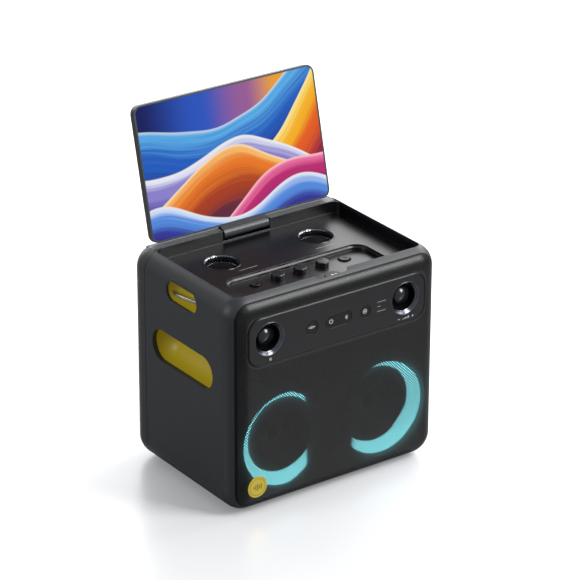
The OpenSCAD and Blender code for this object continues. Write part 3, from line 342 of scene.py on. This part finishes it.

# The grooves round the small round buttons are painted near-black and matt: painted shade in the
# deep grooves
across = deck.math("SUBTRACT", deck.math("ABSOLUTE", deck.mm("x")), RING_X)
groove_shade = deck.span(deck.length(across, deck.mm("y", ROW_Y)), GROOVE_OUT, GROOVE_IN)
deck.cover(groove_shade, srgb(5, 5, 6), MATT)

# ---------------------------------------------------------------- light rings
# Each ring is lit where it lies in discs and out of a hidden one, all (x, z, radius), and
# up to a slanted end: slope, the height it is measured at, and x from and to, mirrored on
# the right.
LEFT, RIGHT = -1, 1
CRESCENTS = {
    LEFT: (((-82.0, 94.0, 69.5), (-97.0, 95.0, 72.0)), (-89.8, 103.9, 55.5),
           (0.04, 60.0, -50.0, -44.5)),
    RIGHT: (((84.0, 93.5, 69.5),), (69.5, 104.5, 56.5),
            (0.13, 100.0, -43.0, -34.0)),
}
CYAN, SHEET_PAINTED_CYAN = (0.28, 0.92, 1.0, 1.0), (0.20, 0.86, 0.95, 1.0)
# Softness of the light's edge, its uneven sparkle (noise scale, least and most), and its
# strength from one height to another
LIGHT_EDGE, SPARKLE, LIGHT_LEVELS = 0.8, (420.0, 0.85, 1.15), (25.0, 100.0, 1.8, 1.35)
# The sheet is painted with a glow that stands in for the rings' light scattered among its holes:
# layers of softness, growth and strength, moved by GLOW_X and GLOW_Z to where the ring behind
# appears from the front left
SHEET_PAINTED_GLOW = ((4.0, 1.0, 0.07), (9.0, 4.0, 0.028))
GLOW_X, GLOW_Z = -2.6, 2.0


def in_disc(g, x, z, spot, soft, grow):
    """1 inside a disc of the front's plane, falling to 0 across its soft edge."""
    away = g.length(g.math("SUBTRACT", x, spot[0]), g.math("SUBTRACT", z, spot[1]))
    radius = spot[2] + grow
    return g.span(away, radius - soft, radius + soft, 1.0, 0.0)


def crescent(g, x, z, side, soft, grow=0.0):
    """Lit share of one light ring."""
    discs, hidden, (slant, level, start, end) = CRESCENTS[side]
    lit = g.math("SUBTRACT", 1.0, in_disc(g, x, z, hidden, soft, -grow))
    for spot in discs:
        lit = g.math("MULTIPLY", lit, in_disc(g, x, z, spot, soft, grow))
    leaning = g.math("MULTIPLY", g.math("SUBTRACT", z, level), slant)
    cut = g.math("MULTIPLY_ADD", x, -side, leaning)
    return g.math("MULTIPLY", lit, g.span(cut, start - soft, end + soft + grow, 1.0, 0.0))


for side, label in ((LEFT, "left"), (RIGHT, "right")):
    g = finish_of("light_" + label, srgb(16, 18, 19), rough=0.6, edge=0)
    x, z = g.mm("x"), g.mm("z")
    sparkle = g.span(g.noise(g.coordinates(), SPARKLE[0]), NOISE_LOW, NOISE_HIGH, *SPARKLE[1:])
    strength = g.math("MULTIPLY", crescent(g, x, z, side, LIGHT_EDGE), sparkle)
    strength = g.math("MULTIPLY", strength, g.span(z, *LIGHT_LEVELS))
    g.surface(Emission_Color=CYAN, Emission_Strength=strength)
    wear(g, "light_ring_" + label)

# Painted glow on the grille sheet, standing in for the rings' light behind it
x, z = mesh_black.mm("x", GLOW_X), mesh_black.mm("z", GLOW_Z)
glow = 0.0
for soft, grow, strength in SHEET_PAINTED_GLOW:
    both = mesh_black.math("ADD", *(crescent(mesh_black, x, z, side, soft, grow)
                                    for side in (LEFT, RIGHT)))
    glow = mesh_black.math("MULTIPLY_ADD", both, strength, glow)
mesh_black.surface(Emission_Color=SHEET_PAINTED_CYAN, Emission_Strength=glow)

# ---------------------------------------------------------------- perforated grille
# The sheet is laid out flat, in (u, v) from the grille's centre, and then rolled back
# round its flat part. Its holes stand in diamond cells of half diagonal STEP.
FLAT_W, FLAT_H, FLAT_R, ROLL_R = 147.0, 133.0, 4.0, 28.0
SHEET_T, HOLE_R, STEP, CELL_CLEAR = 0.5, 1.2, 2.15, 0.35
SHEET_REACH = 21.0
SHEET = tuple(size + SHEET_REACH for size in (FLAT_W, FLAT_H, FLAT_R))
CUT, CUT_Z = (149.9, 36.8, 21.4), PANEL_Z - GRILLE_Z
MARGIN_PITCH, OUTER_MARGIN = 3.0, 6.0
HOLE_SIDES = 8


def round_rect_gap(u, v, outline):
    """Signed distance outwards from a rounded rectangle."""
    w, h, r = outline
    qu, qv = np.abs(u) - (w - r), np.abs(v) - (h - r)
    return np.hypot(np.maximum(qu, 0), np.maximum(qv, 0)) + np.minimum(np.maximum(qu, qv), 0) - r


def sheet_gap(u, v):
    """Distance inside the sheet's outline and outside the panel's cut-out."""
    return np.minimum(-round_rect_gap(u, v, SHEET), round_rect_gap(u, v - CUT_Z, CUT))


def rolled(points, depth):
    """Takes points of the flat sheet to the rolled one, each depth behind its face."""
    u, v = points[:, 0], points[:, 1]
    iu = np.clip(u, -(FLAT_W - FLAT_R), FLAT_W - FLAT_R)
    iv = np.clip(v, -(FLAT_H - FLAT_R), FLAT_H - FLAT_R)
    du, dv = u - iu, v - iv
    d = np.maximum(np.hypot(du, dv), 1e-9)
    nu, nv = du / d, dv / d
    t = np.maximum(d - FLAT_R, 0) / ROLL_R
    reach = np.minimum(d, FLAT_R) + ROLL_R * np.sin(t)
    x = iu + nu * reach - nu * np.sin(t) * depth
    y = FRONT_Y + ROLL_R * (1 - np.cos(t)) + np.cos(t) * depth
    z = iv + nv * reach - nv * np.sin(t) * depth
    return np.stack([x, y, z + GRILLE_Z], 1)


def outline_points(outline, middle):
    """Points round a rounded rectangle, about MARGIN_PITCH apart."""
    w, h, r = outline
    points = []
    corners = ((w - r, h - r, 0), (r - w, h - r, 90), (r - w, r - h, 180), (w - r, r - h, 270))
    for k, (cu, cv, a) in enumerate(corners):
        steps = max(4, int(r * math.pi / 2 / MARGIN_PITCH))
        for i in range(steps + 1):
            t = math.radians(a + 90 * i / steps)
            points.append((cu + r * math.cos(t), cv + r * math.sin(t) + middle))
        nu, nv, na = corners[(k + 1) % 4]
        e = math.radians(na)
        end = (nu + r * math.cos(e), nv + r * math.sin(e) + middle)
        last = points[-1]
        n = int(math.dist(last, end) / MARGIN_PITCH)
        points += [(last[0] + (end[0] - last[0]) * i / n, last[1] + (end[1] - last[1]) * i / n)
                   for i in range(1, n)]
    return points


def margin_of(corner_at, corner, cells):
    """Points, triangles and their middles that fill the sheet between cells and outlines."""
    sides = Counter(tuple(sorted(side)) for row in corner.tolist()
                    for side in zip(row, row[1:] + row[:1]))
    border = [side for side, count in sides.items() if count == 1]
    rim = sorted({i for side in border for i in side})
    local = {i: k for k, i in enumerate(rim)}
    points = [Vector(corner_at[i]) for i in rim]
    edges = [(local[i], local[j]) for i, j in border]
    for outline, middle in ((SHEET, 0.0), (CUT, CUT_Z)):
        ring, base = outline_points(outline, middle), len(points)
        points += [Vector(p) for p in ring]
        edges += [(base + i, base + (i + 1) % len(ring)) for i in range(len(ring))]
    out = delaunay_2d_cdt(points, edges, [], 0, 1e-6)
    points, tris = np.array([tuple(p) for p in out[0]]), np.array(out[2])
    mid = points[tris].mean(1)
    a = np.round((mid[:, 0] + mid[:, 1]) / (2 * STEP)).astype(int)
    b = np.round((mid[:, 0] - mid[:, 1]) / (2 * STEP)).astype(int)
    free = np.array([cell not in cells for cell in zip(a.tolist(), b.tolist())])
    free &= sheet_gap(mid[:, 0], mid[:, 1]) > 0.0
    return points, tris[free], mid[free]


def perforated_sheet():
    """Vertices, and groups of faces with each face's u: cells, hole walls, two margins."""
    reach = int((FLAT_W + FLAT_H + 2 * SHEET_REACH) / STEP) + 2
    grid = np.arange(-reach, reach + 1)
    a, b = (g.ravel() for g in np.meshgrid(grid, grid, indexing="ij"))
    keep = sheet_gap((a + b) * STEP, (a - b) * STEP) > STEP + CELL_CLEAR
    a, b = a[keep], b[keep]
    u, v, n = (a + b) * STEP, (a - b) * STEP, len(a)
    # Corners of the cells, right, top, left and bottom, shared between neighbours
    size = 2 * reach + 3
    keys = np.stack([(a + reach + qa) * size + (b + reach + qb)
                     for qa, qb in ((1, 1), (1, 0), (0, 0), (0, 1))], 1)
    unique, index = np.unique(keys.ravel(), return_inverse=True)
    corner = index.reshape(n, 4)
    corner_at = np.zeros((len(unique), 2))
    for k, (su, sv) in enumerate(((1, 0), (0, 1), (-1, 0), (0, -1))):
        corner_at[corner[:, k]] = np.stack([u + su * STEP, v + sv * STEP], 1)
    # Each hole's edge, once at the face and once behind it
    angles = np.radians(np.arange(HOLE_SIDES) * 360.0 / HOLE_SIDES)
    hole_at = np.stack([u[:, None] + HOLE_R * np.cos(angles),
                        v[:, None] + HOLE_R * np.sin(angles)], 2).reshape(-1, 2)
    front = len(corner_at) + np.arange(len(hole_at)).reshape(n, HOLE_SIDES)
    back = front + len(hole_at)
    cells = [np.stack([corner[:, k], corner[:, (k + 1) % 4], front[:, (2 * k + 2) % HOLE_SIDES],
                       front[:, 2 * k + 1], front[:, 2 * k]], 1) for k in range(4)]
    walls = [np.stack([front[:, k], front[:, j], back[:, j], back[:, k]], 1)
             for k, j in ((k, (k + 1) % HOLE_SIDES) for k in range(HOLE_SIDES))]
    # The plain margin between the outermost cells and the sheet's outlines
    margin_at, tris, mid = margin_of(corner_at, corner, set(zip(a.tolist(), b.tolist())))
    outside = round_rect_gap(mid[:, 0], mid[:, 1], SHEET) > -OUTER_MARGIN
    flat = np.concatenate([corner_at, hole_at, hole_at, margin_at])
    tris += len(flat) - len(margin_at)
    depth = np.zeros(len(flat))
    depth[back.ravel()] = SHEET_T
    return at_all(rolled(flat, depth)), (
        (np.concatenate(cells), np.tile(u, len(cells))),
        (np.concatenate(walls), np.tile(u, len(walls))),
        (tris[~outside], mid[~outside][:, 0]), (tris[outside], mid[outside][:, 0]))


def part_of(verts, groups, name):
    """One piece of the sheet, with only the vertices that it uses."""
    used = np.unique(np.concatenate([f.ravel() for f in groups]))
    new = np.zeros(len(verts), np.int64)
    new[used] = np.arange(len(used))
    return mesh_of(name, verts[used], [new[f] for f in groups])


# Four upright strips keep each piece small; the outer margin takes the second material, painted
# darker and matt as shade in the seam round the grille
STRIP_W = 74.0
verts, sheet_parts = perforated_sheet()
limits = (-math.inf, -STRIP_W, 0.0, STRIP_W, math.inf)
for label, lo, hi in zip("abcd", limits, limits[1:]):
    groups = [f[(u >= lo) & (u < hi)] for f, u in sheet_parts]
    piece = part_of(verts, groups, "grille_mesh_" + label)
    piece.data.materials.append(mesh_black.material)
    piece.data.materials.append(mesh_edge_shade.material)
    index = np.zeros(len(piece.data.polygons), np.int32)
    index[len(index) - len(groups[3]):] = 1
    piece.data.polygons.foreach_set("material_index", index)
    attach(piece, "housing")
    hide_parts("grille")

# ---------------------------------------------------------------- screen picture
SKY = ((0.0, (8, 22, 88)), (0.35, (40, 84, 190)), (0.6, (150, 92, 150)),
       (0.8, (240, 160, 40)), (1.0, (250, 196, 60)))
# Ribbons from back to front: height at the left, rise to the right, wave height, turns and
# phase, depth of the shading, drift of the streaks, and colours from the edge downwards
RIBBONS = (
    (0.74, 0.30, 0.16, 4.4, 2.6, 0.75, 1.2,
     ((0.0, (92, 176, 236)), (0.3, (30, 92, 190)), (0.6, (20, 40, 120)), (1.0, (60, 50, 120)))),
    (-0.10, 1.05, 0.13, 6.2, 0.4, 0.62, 1.6,
     ((0.0, (255, 226, 120)), (0.25, (250, 178, 30)), (0.55, (232, 92, 20)),
      (1.0, (150, 24, 60)))),
    (0.62, -0.30, 0.15, 5.2, 4.6, 0.50, 0.9,
     ((0.0, (232, 236, 252)), (0.22, (140, 130, 206)), (0.55, (72, 62, 150)),
      (1.0, (32, 28, 96)))),
    (0.36, 0.02, 0.17, 5.6, 5.2, 0.44, 1.4,
     ((0.0, (255, 196, 110)), (0.25, (236, 120, 30)), (0.6, (170, 62, 26)),
      (1.0, (96, 40, 60)))),
    (-0.22, 0.62, 0.10, 6.6, 3.4, 0.40, 1.1,
     ((0.0, (250, 120, 170)), (0.3, (186, 40, 110)), (0.65, (96, 34, 140)),
      (1.0, (40, 30, 120)))),
    (0.16, -0.06, 0.10, 7.6, 1.2, 0.30, 1.3,
     ((0.0, (214, 230, 255)), (0.3, (84, 140, 224)), (0.7, (50, 52, 150)),
      (1.0, (60, 30, 90)))),
)
EDGE_LIGHT, EDGE_W, EDGE_SHARE, EDGE_SHARP = srgb(255, 244, 226), 0.030, 0.55, 0.006
SWAY_SCALE, SWAY_SHARE = 1.3, 0.16
STREAKS, STREAK_SHARE = 34.0, 0.34
PICTURE_ASPECT = 1.55
# The picture is drawn full to the camera and dimmer to what the screen lights
PICTURE_SEEN, PICTURE_CAST = 0.92, 0.18


def screen_picture():
    """Flowing ribbons of colour, made for this model."""
    g = Graph("screen_picture")
    upwards = Vector((0.0, math.sin(TILT), math.cos(TILT)))
    start = Vector(at(*SCREEN_AXIS)).dot(upwards) + (SCREEN_START + BEZEL) / 1000
    wide, high = ((size - 2 * BEZEL) / 1000 for size in (SCREEN_W, SCREEN_H))
    here = g.coordinates()
    up = g.node("VectorMath", Vector=here)
    up.operation = "DOT_PRODUCT"
    up.inputs[1].default_value = upwards
    u = g.math("MULTIPLY_ADD", g.node("SeparateXYZ", Vector=here).outputs[0], 1 / wide, 0.5)
    v = g.math("MULTIPLY", g.math("SUBTRACT", up.outputs["Value"], start), 1 / high)
    flat = g.node("CombineXYZ", X=g.math("MULTIPLY", u, PICTURE_ASPECT), Y=v).outputs[0]
    sway = g.math("SUBTRACT", g.noise(flat, SWAY_SCALE, 1.0), 0.5)
    colour = g.ramp(u, SKY)
    for height, rise, wave, turns, phase, depth, drift, stops in RIBBONS:
        bend = g.math("SINE", g.math("MULTIPLY_ADD", u, turns, phase))
        edge = g.math("MULTIPLY_ADD", u, rise, height)
        edge = g.math("MULTIPLY_ADD", bend, wave, edge)
        edge = g.math("MULTIPLY_ADD", sway, SWAY_SHARE, edge)
        below = g.math("SUBTRACT", edge, v)
        turned = g.node("CombineXYZ", X=g.math("MULTIPLY", below, STREAKS),
                        Y=g.math("MULTIPLY_ADD", u, drift, phase))
        streak = g.math("SUBTRACT", g.noise(turned.outputs[0], 1.0, 3.0, 0.62), 0.5)
        inward = g.span(below, 0.0, depth, smooth=False)
        shade = g.math("MULTIPLY_ADD", streak, STREAK_SHARE, inward, clamp=True)
        bright = g.math("MULTIPLY", g.span(below, 0.0, EDGE_W, 1.0, 0.0), EDGE_SHARE)
        tint = g.mix(bright, g.ramp(shade, stops), EDGE_LIGHT)
        colour = g.mix(g.span(below, -EDGE_SHARP, EDGE_SHARP), colour, tint)
    g.surface(Base_Color=(0.01, 0.01, 0.012, 1.0), Roughness=0.12, Specular_IOR_Level=0.06,
              Emission_Color=colour,
              Emission_Strength=g.span(g.camera_ray(), 0.0, 1.0, PICTURE_CAST, PICTURE_SEEN,
                                       smooth=False))
    return g


wear(screen_picture(), "screen_glass")

# ---------------------------------------------------------------- printed marks
MARK_T, MARK_SINK = 0.05, 0.02


def print_marks(name, outlines, place, finish, body):
    """Flat printed marks: each outline is a closed polygon of (u, v), raised by MARK_T."""
    verts, faces = [], []
    for outline in outlines:
        n, base = len(outline), len(verts)
        area = sum(a[0] * b[1] - b[0] * a[1] for a, b in zip(outline, outline[1:] + outline[:1]))
        if area < 0:
            outline = outline[::-1]
        verts += [place(u, v, w) for w in (MARK_T, -MARK_SINK) for u, v in outline]
        faces.append(list(range(base, base + n)))
        for i in range(n):
            j = (i + 1) % n
            faces.append([base + i, base + n + i, base + n + j, base + j])
    me = bpy.data.meshes.new(name)
    me.from_pydata([at(*v) for v in verts], [], faces)
    me.update()
    ob = add_object(name, me)
    ob.data.materials.append(finish.material)
    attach(ob, body)


def polar(u, v, r, angle):
    return (u + r * math.cos(angle), v + r * math.sin(angle))


def bar(u0, v0, u1, v1, w):
    """A straight stroke of width w from one point to another."""
    d = math.hypot(u1 - u0, v1 - v0)
    nu, nv = -(v1 - v0) / d * w / 2, (u1 - u0) / d * w / 2
    return [(u0 - nu, v0 - nv), (u1 - nu, v1 - nv), (u1 + nu, v1 + nv), (u0 + nu, v0 + nv)]


def bars(u, v, pitch, halves, w):
    """Upright strokes of the given half heights in a row about (u, v)."""
    first = u - pitch * (len(halves) - 1) / 2
    return [bar(first + pitch * k, v - h, first + pitch * k, v + h, w)
            for k, h in enumerate(halves)]


def arc(u, v, r, w, a0, a1, steps):
    """Strokes along an arc, in degrees, as four-cornered pieces."""
    turns = [math.radians(a0 + (a1 - a0) * k / steps) for k in range(steps + 1)]
    inner, outer = r - w / 2, r + w / 2
    return [[polar(u, v, inner, s), polar(u, v, outer, s), polar(u, v, outer, e),
             polar(u, v, inner, e)] for s, e in zip(turns, turns[1:])]


def disc(u, v, r, steps=24):
    return [polar(u, v, r, 2 * math.pi * k / steps) for k in range(steps)]


def upright(y, u0=0.0, v0=0.0):
    """Places marks on an upright face: u right, v up, w forwards from y."""
    return lambda u, v, w: (u0 + u, y - w, v0 + v)


def level(z):
    """Places marks on a level face: u right, v back, w up from z."""
    return lambda u, v, w: (u, v, z + w)


STAR_X, STAR_Z = -113.0, 226.4
star = [bar(*polar(STAR_X, STAR_Z, 0.9, a), *polar(STAR_X, STAR_Z, 2.3, a), 0.6)
        for a in (math.pi * k / 4 for k in range(8))]
star += arc(STAR_X, STAR_Z, 1.0, 0.5, 0, 360, 16)
MINUS_X, STEPS_X, PLUS_X, VOLUME_Z = 103.6, 110.5, 127.5, 227.0
volume = [bar(MINUS_X - 1.6, VOLUME_Z, MINUS_X + 1.6, VOLUME_Z, 0.6),
          bar(PLUS_X - 1.6, VOLUME_Z, PLUS_X + 1.6, VOLUME_Z, 0.6),
          bar(PLUS_X, VOLUME_Z - 1.6, PLUS_X, VOLUME_Z + 1.6, 0.6)]
volume += [bar(STEPS_X + 2.5 * k, 225.6, STEPS_X + 2.5 * k, 226.4 + 0.6 * k, 0.9)
           for k in range(5)]
lines = [bar(66.0, z, end, z, 0.8) for z, end in ((263.0, 80.5), (256.2, 71.0), (249.0, 80.0))]
POWER_X, WAVES_X, BASS_X, MODE_X = -12.2, 10.6, -44.5, 45.0
power = arc(POWER_X, BUTTON_Z, 2.9, 0.7, 125, 415, 24)
power += [bar(POWER_X, BUTTON_Z + 0.4, POWER_X, BUTTON_Z + 3.8, 0.7)]
for radius in (1.6, 3.0, 4.4):
    power += arc(WAVES_X, BUTTON_Z, radius, 0.6, -48, 48, 10)
bass = bars(BASS_X, BUTTON_Z, 2.4, (0.9, 1.7, 2.3, 1.5, 0.8), 1.0)
mode = arc(MODE_X, BUTTON_Z, 2.9, 0.7, 0, 360, 28) + [disc(MODE_X, BUTTON_Z, 1.0)]
badge = arc(0, 0, 12.6, 0.5, 0, 360, 60) + bars(0, 0, 3.0, (1.6, 3.6, 5.2, 2.8, 4.2), 1.3)
well_lines = [bar(-77, -0.5, -46, 0.5, 0.8), bar(53, 0.0, 83, 0.0, 0.8)]
play = [[(26.6, -71.4), (26.6, -78.6), (32.6, -75.0)], bar(34.4, -78.2, 34.4, -71.8, 1.2)]

on_panel, on_cap = upright(PANEL_Y), upright(PANEL_CAP_Y)
on_badge = upright(FRONT_Y - BADGE_T, BADGE_X, BADGE_Z)
on_deck, on_deck_cap = level(DECK_Z), level(DECK_CAP_Z)
for name, outlines, place, finish, body, slot in (
        ("panel_marks_light", star, on_panel, print_white, "housing", "panel_black"),
        ("panel_marks_level", volume, on_panel, print_white, "housing", "panel_black"),
        ("panel_marks_lines", lines, on_panel, print_grey, "housing", "panel_black"),
        ("bass_mark", bass, on_cap, print_white, "bass_key", "button_black"),
        ("power_marks", power, on_cap, print_white, "power_key", "button_black"),
        ("mode_mark", mode, on_cap, print_white, "mode_key", "button_black"),
        ("badge_marks", badge, on_badge, print_dark, "housing", "badge_yellow"),
        ("deck_marks", well_lines, on_deck, print_grey, "housing", "deck_black"),
        ("play_mark", play, on_deck_cap, print_white, "play_key", "button_black"),
        ("small_mark", [disc(7.5, -76, 1.5)], on_deck_cap, print_white, "small_key",
         "button_black")):
    print_marks(name, outlines, place, finish, body)

# ---------------------------------------------------------------- floor, light and camera
FLOOR_HALF = 30.0
FLOOR_SEEN = (0.21, 0.21, 0.215, 1.0)
FLOOR_CAST = ((0.62, 0.62, 0.63, 1.0), (0.64, 0.64, 0.65, 1.0))
FLOOR_LIFT = 0.14
SOFT_SKY, BACKDROP = ((0.93, 0.96, 1.0, 1.0), 0.40), ((1.0, 1.0, 1.0, 1.0), 1.0)
# Name, place and target in metres, width and height, watts
LAMPS = (
    ("top_right", (1.7, 0.1, 1.5), (0.0, 0.0, 0.3), (1.5, 1.5), 32.0),
    ("back_wall", (1.2, 2.45, 1.5), (0.0, 0.0, 0.25), (4.7, 2.6), 100.0),
    ("front_right", (1.07, -1.5, 1.76), (0.0, 0.0, 0.3), (0.9, 1.75), 65.0),
    ("left_fill", (-2.3, 0.5, 1.3), (0.0, 0.0, 0.15), (1.4, 1.2), 17.0),
)
# The camera fitted to the photo: focal length in pixels of its 580-pixel frame, angles in
# degrees, place in metres
FOCAL_PX, FRAME_PX, SENSOR = 3051.5, 580.0, 36.0
CAM_AZIMUTH, CAM_RISE, CAM_ROLL = -35.567, 24.398, 0.16
CAM_PLACE = (-2.2411, -3.16096, 2.0074)


def stage_floor():
    """A glossy pale floor, whose base is darker to the camera than to the light it casts."""
    h = FLOOR_HALF
    floor = mesh_of("floor", np.array([(-h, -h, 0), (h, -h, 0), (h, h, 0), (-h, h, 0)]),
                    [np.array([[0, 1, 2, 3]])])
    g = Graph("floor_white")
    seen = g.camera_ray()
    cast = g.mix(g.noise(g.coordinates(), 3.0), *FLOOR_CAST)
    g.surface(Base_Color=g.mix(seen, FLOOR_SEEN, cast), Roughness=0.30, Specular_IOR_Level=1.0,
              Emission_Color=(1.0, 1.0, 1.0, 1.0),
              Emission_Strength=g.math("MULTIPLY", seen, FLOOR_LIFT))
    floor.data.materials.append(g.material)


def studio_world():
    """Soft sky light on the object, plain white for the camera."""
    world = bpy.data.worlds.new("studio")
    bpy.context.scene.world = world
    world.use_nodes = True
    tree = world.node_tree
    tree.nodes.clear()
    out, pick, ray = (tree.nodes.new("ShaderNode" + kind)
                      for kind in ("OutputWorld", "MixShader", "LightPath"))
    for place, (colour, strength) in enumerate((SOFT_SKY, BACKDROP), start=1):
        glow = tree.nodes.new("ShaderNodeBackground")
        glow.inputs["Color"].default_value = colour
        glow.inputs["Strength"].default_value = strength
        tree.links.new(glow.outputs[0], pick.inputs[place])
    tree.links.new(ray.outputs["Is Camera Ray"], pick.inputs[0])
    tree.links.new(pick.outputs[0], out.inputs[0])


def area_lamp(name, place, target, size, energy):
    lamp = bpy.data.lights.new(name, "AREA")
    lamp.shape, lamp.size, lamp.size_y = "RECTANGLE", size[0], size[1]
    lamp.energy = energy
    ob = add_object(name, lamp)
    ob.location = place
    ob.rotation_mode = "QUATERNION"
    ob.rotation_quaternion = (Vector(target) - Vector(place)).to_track_quat("-Z", "Y")
    ob.visible_camera = False


def photo_camera():
    data = bpy.data.cameras.new("photo_camera")
    data.sensor_width, data.lens = SENSOR, SENSOR * FOCAL_PX / FRAME_PX
    data.clip_start, data.clip_end = 0.1, 100.0
    camera = add_object("photo_camera", data)
    turn, rise, roll = (math.radians(a) for a in (CAM_AZIMUTH, CAM_RISE, CAM_ROLL))
    back = Vector((math.sin(turn) * math.cos(rise), -math.cos(turn) * math.cos(rise),
                   math.sin(rise)))
    right = Vector((0, 0, 1)).cross(back).normalized()
    above = back.cross(right)
    axes = (right * math.cos(roll) + above * math.sin(roll),
            above * math.cos(roll) - right * math.sin(roll), back)
    camera.matrix_world = Matrix.Translation(CAM_PLACE) @ Matrix(axes).transposed().to_4x4()
    bpy.context.scene.camera = camera


stage_floor()
studio_world()
for lamp in LAMPS:
    area_lamp(*lamp)
photo_camera()
bpy.context.scene.view_settings.view_transform = "Standard"
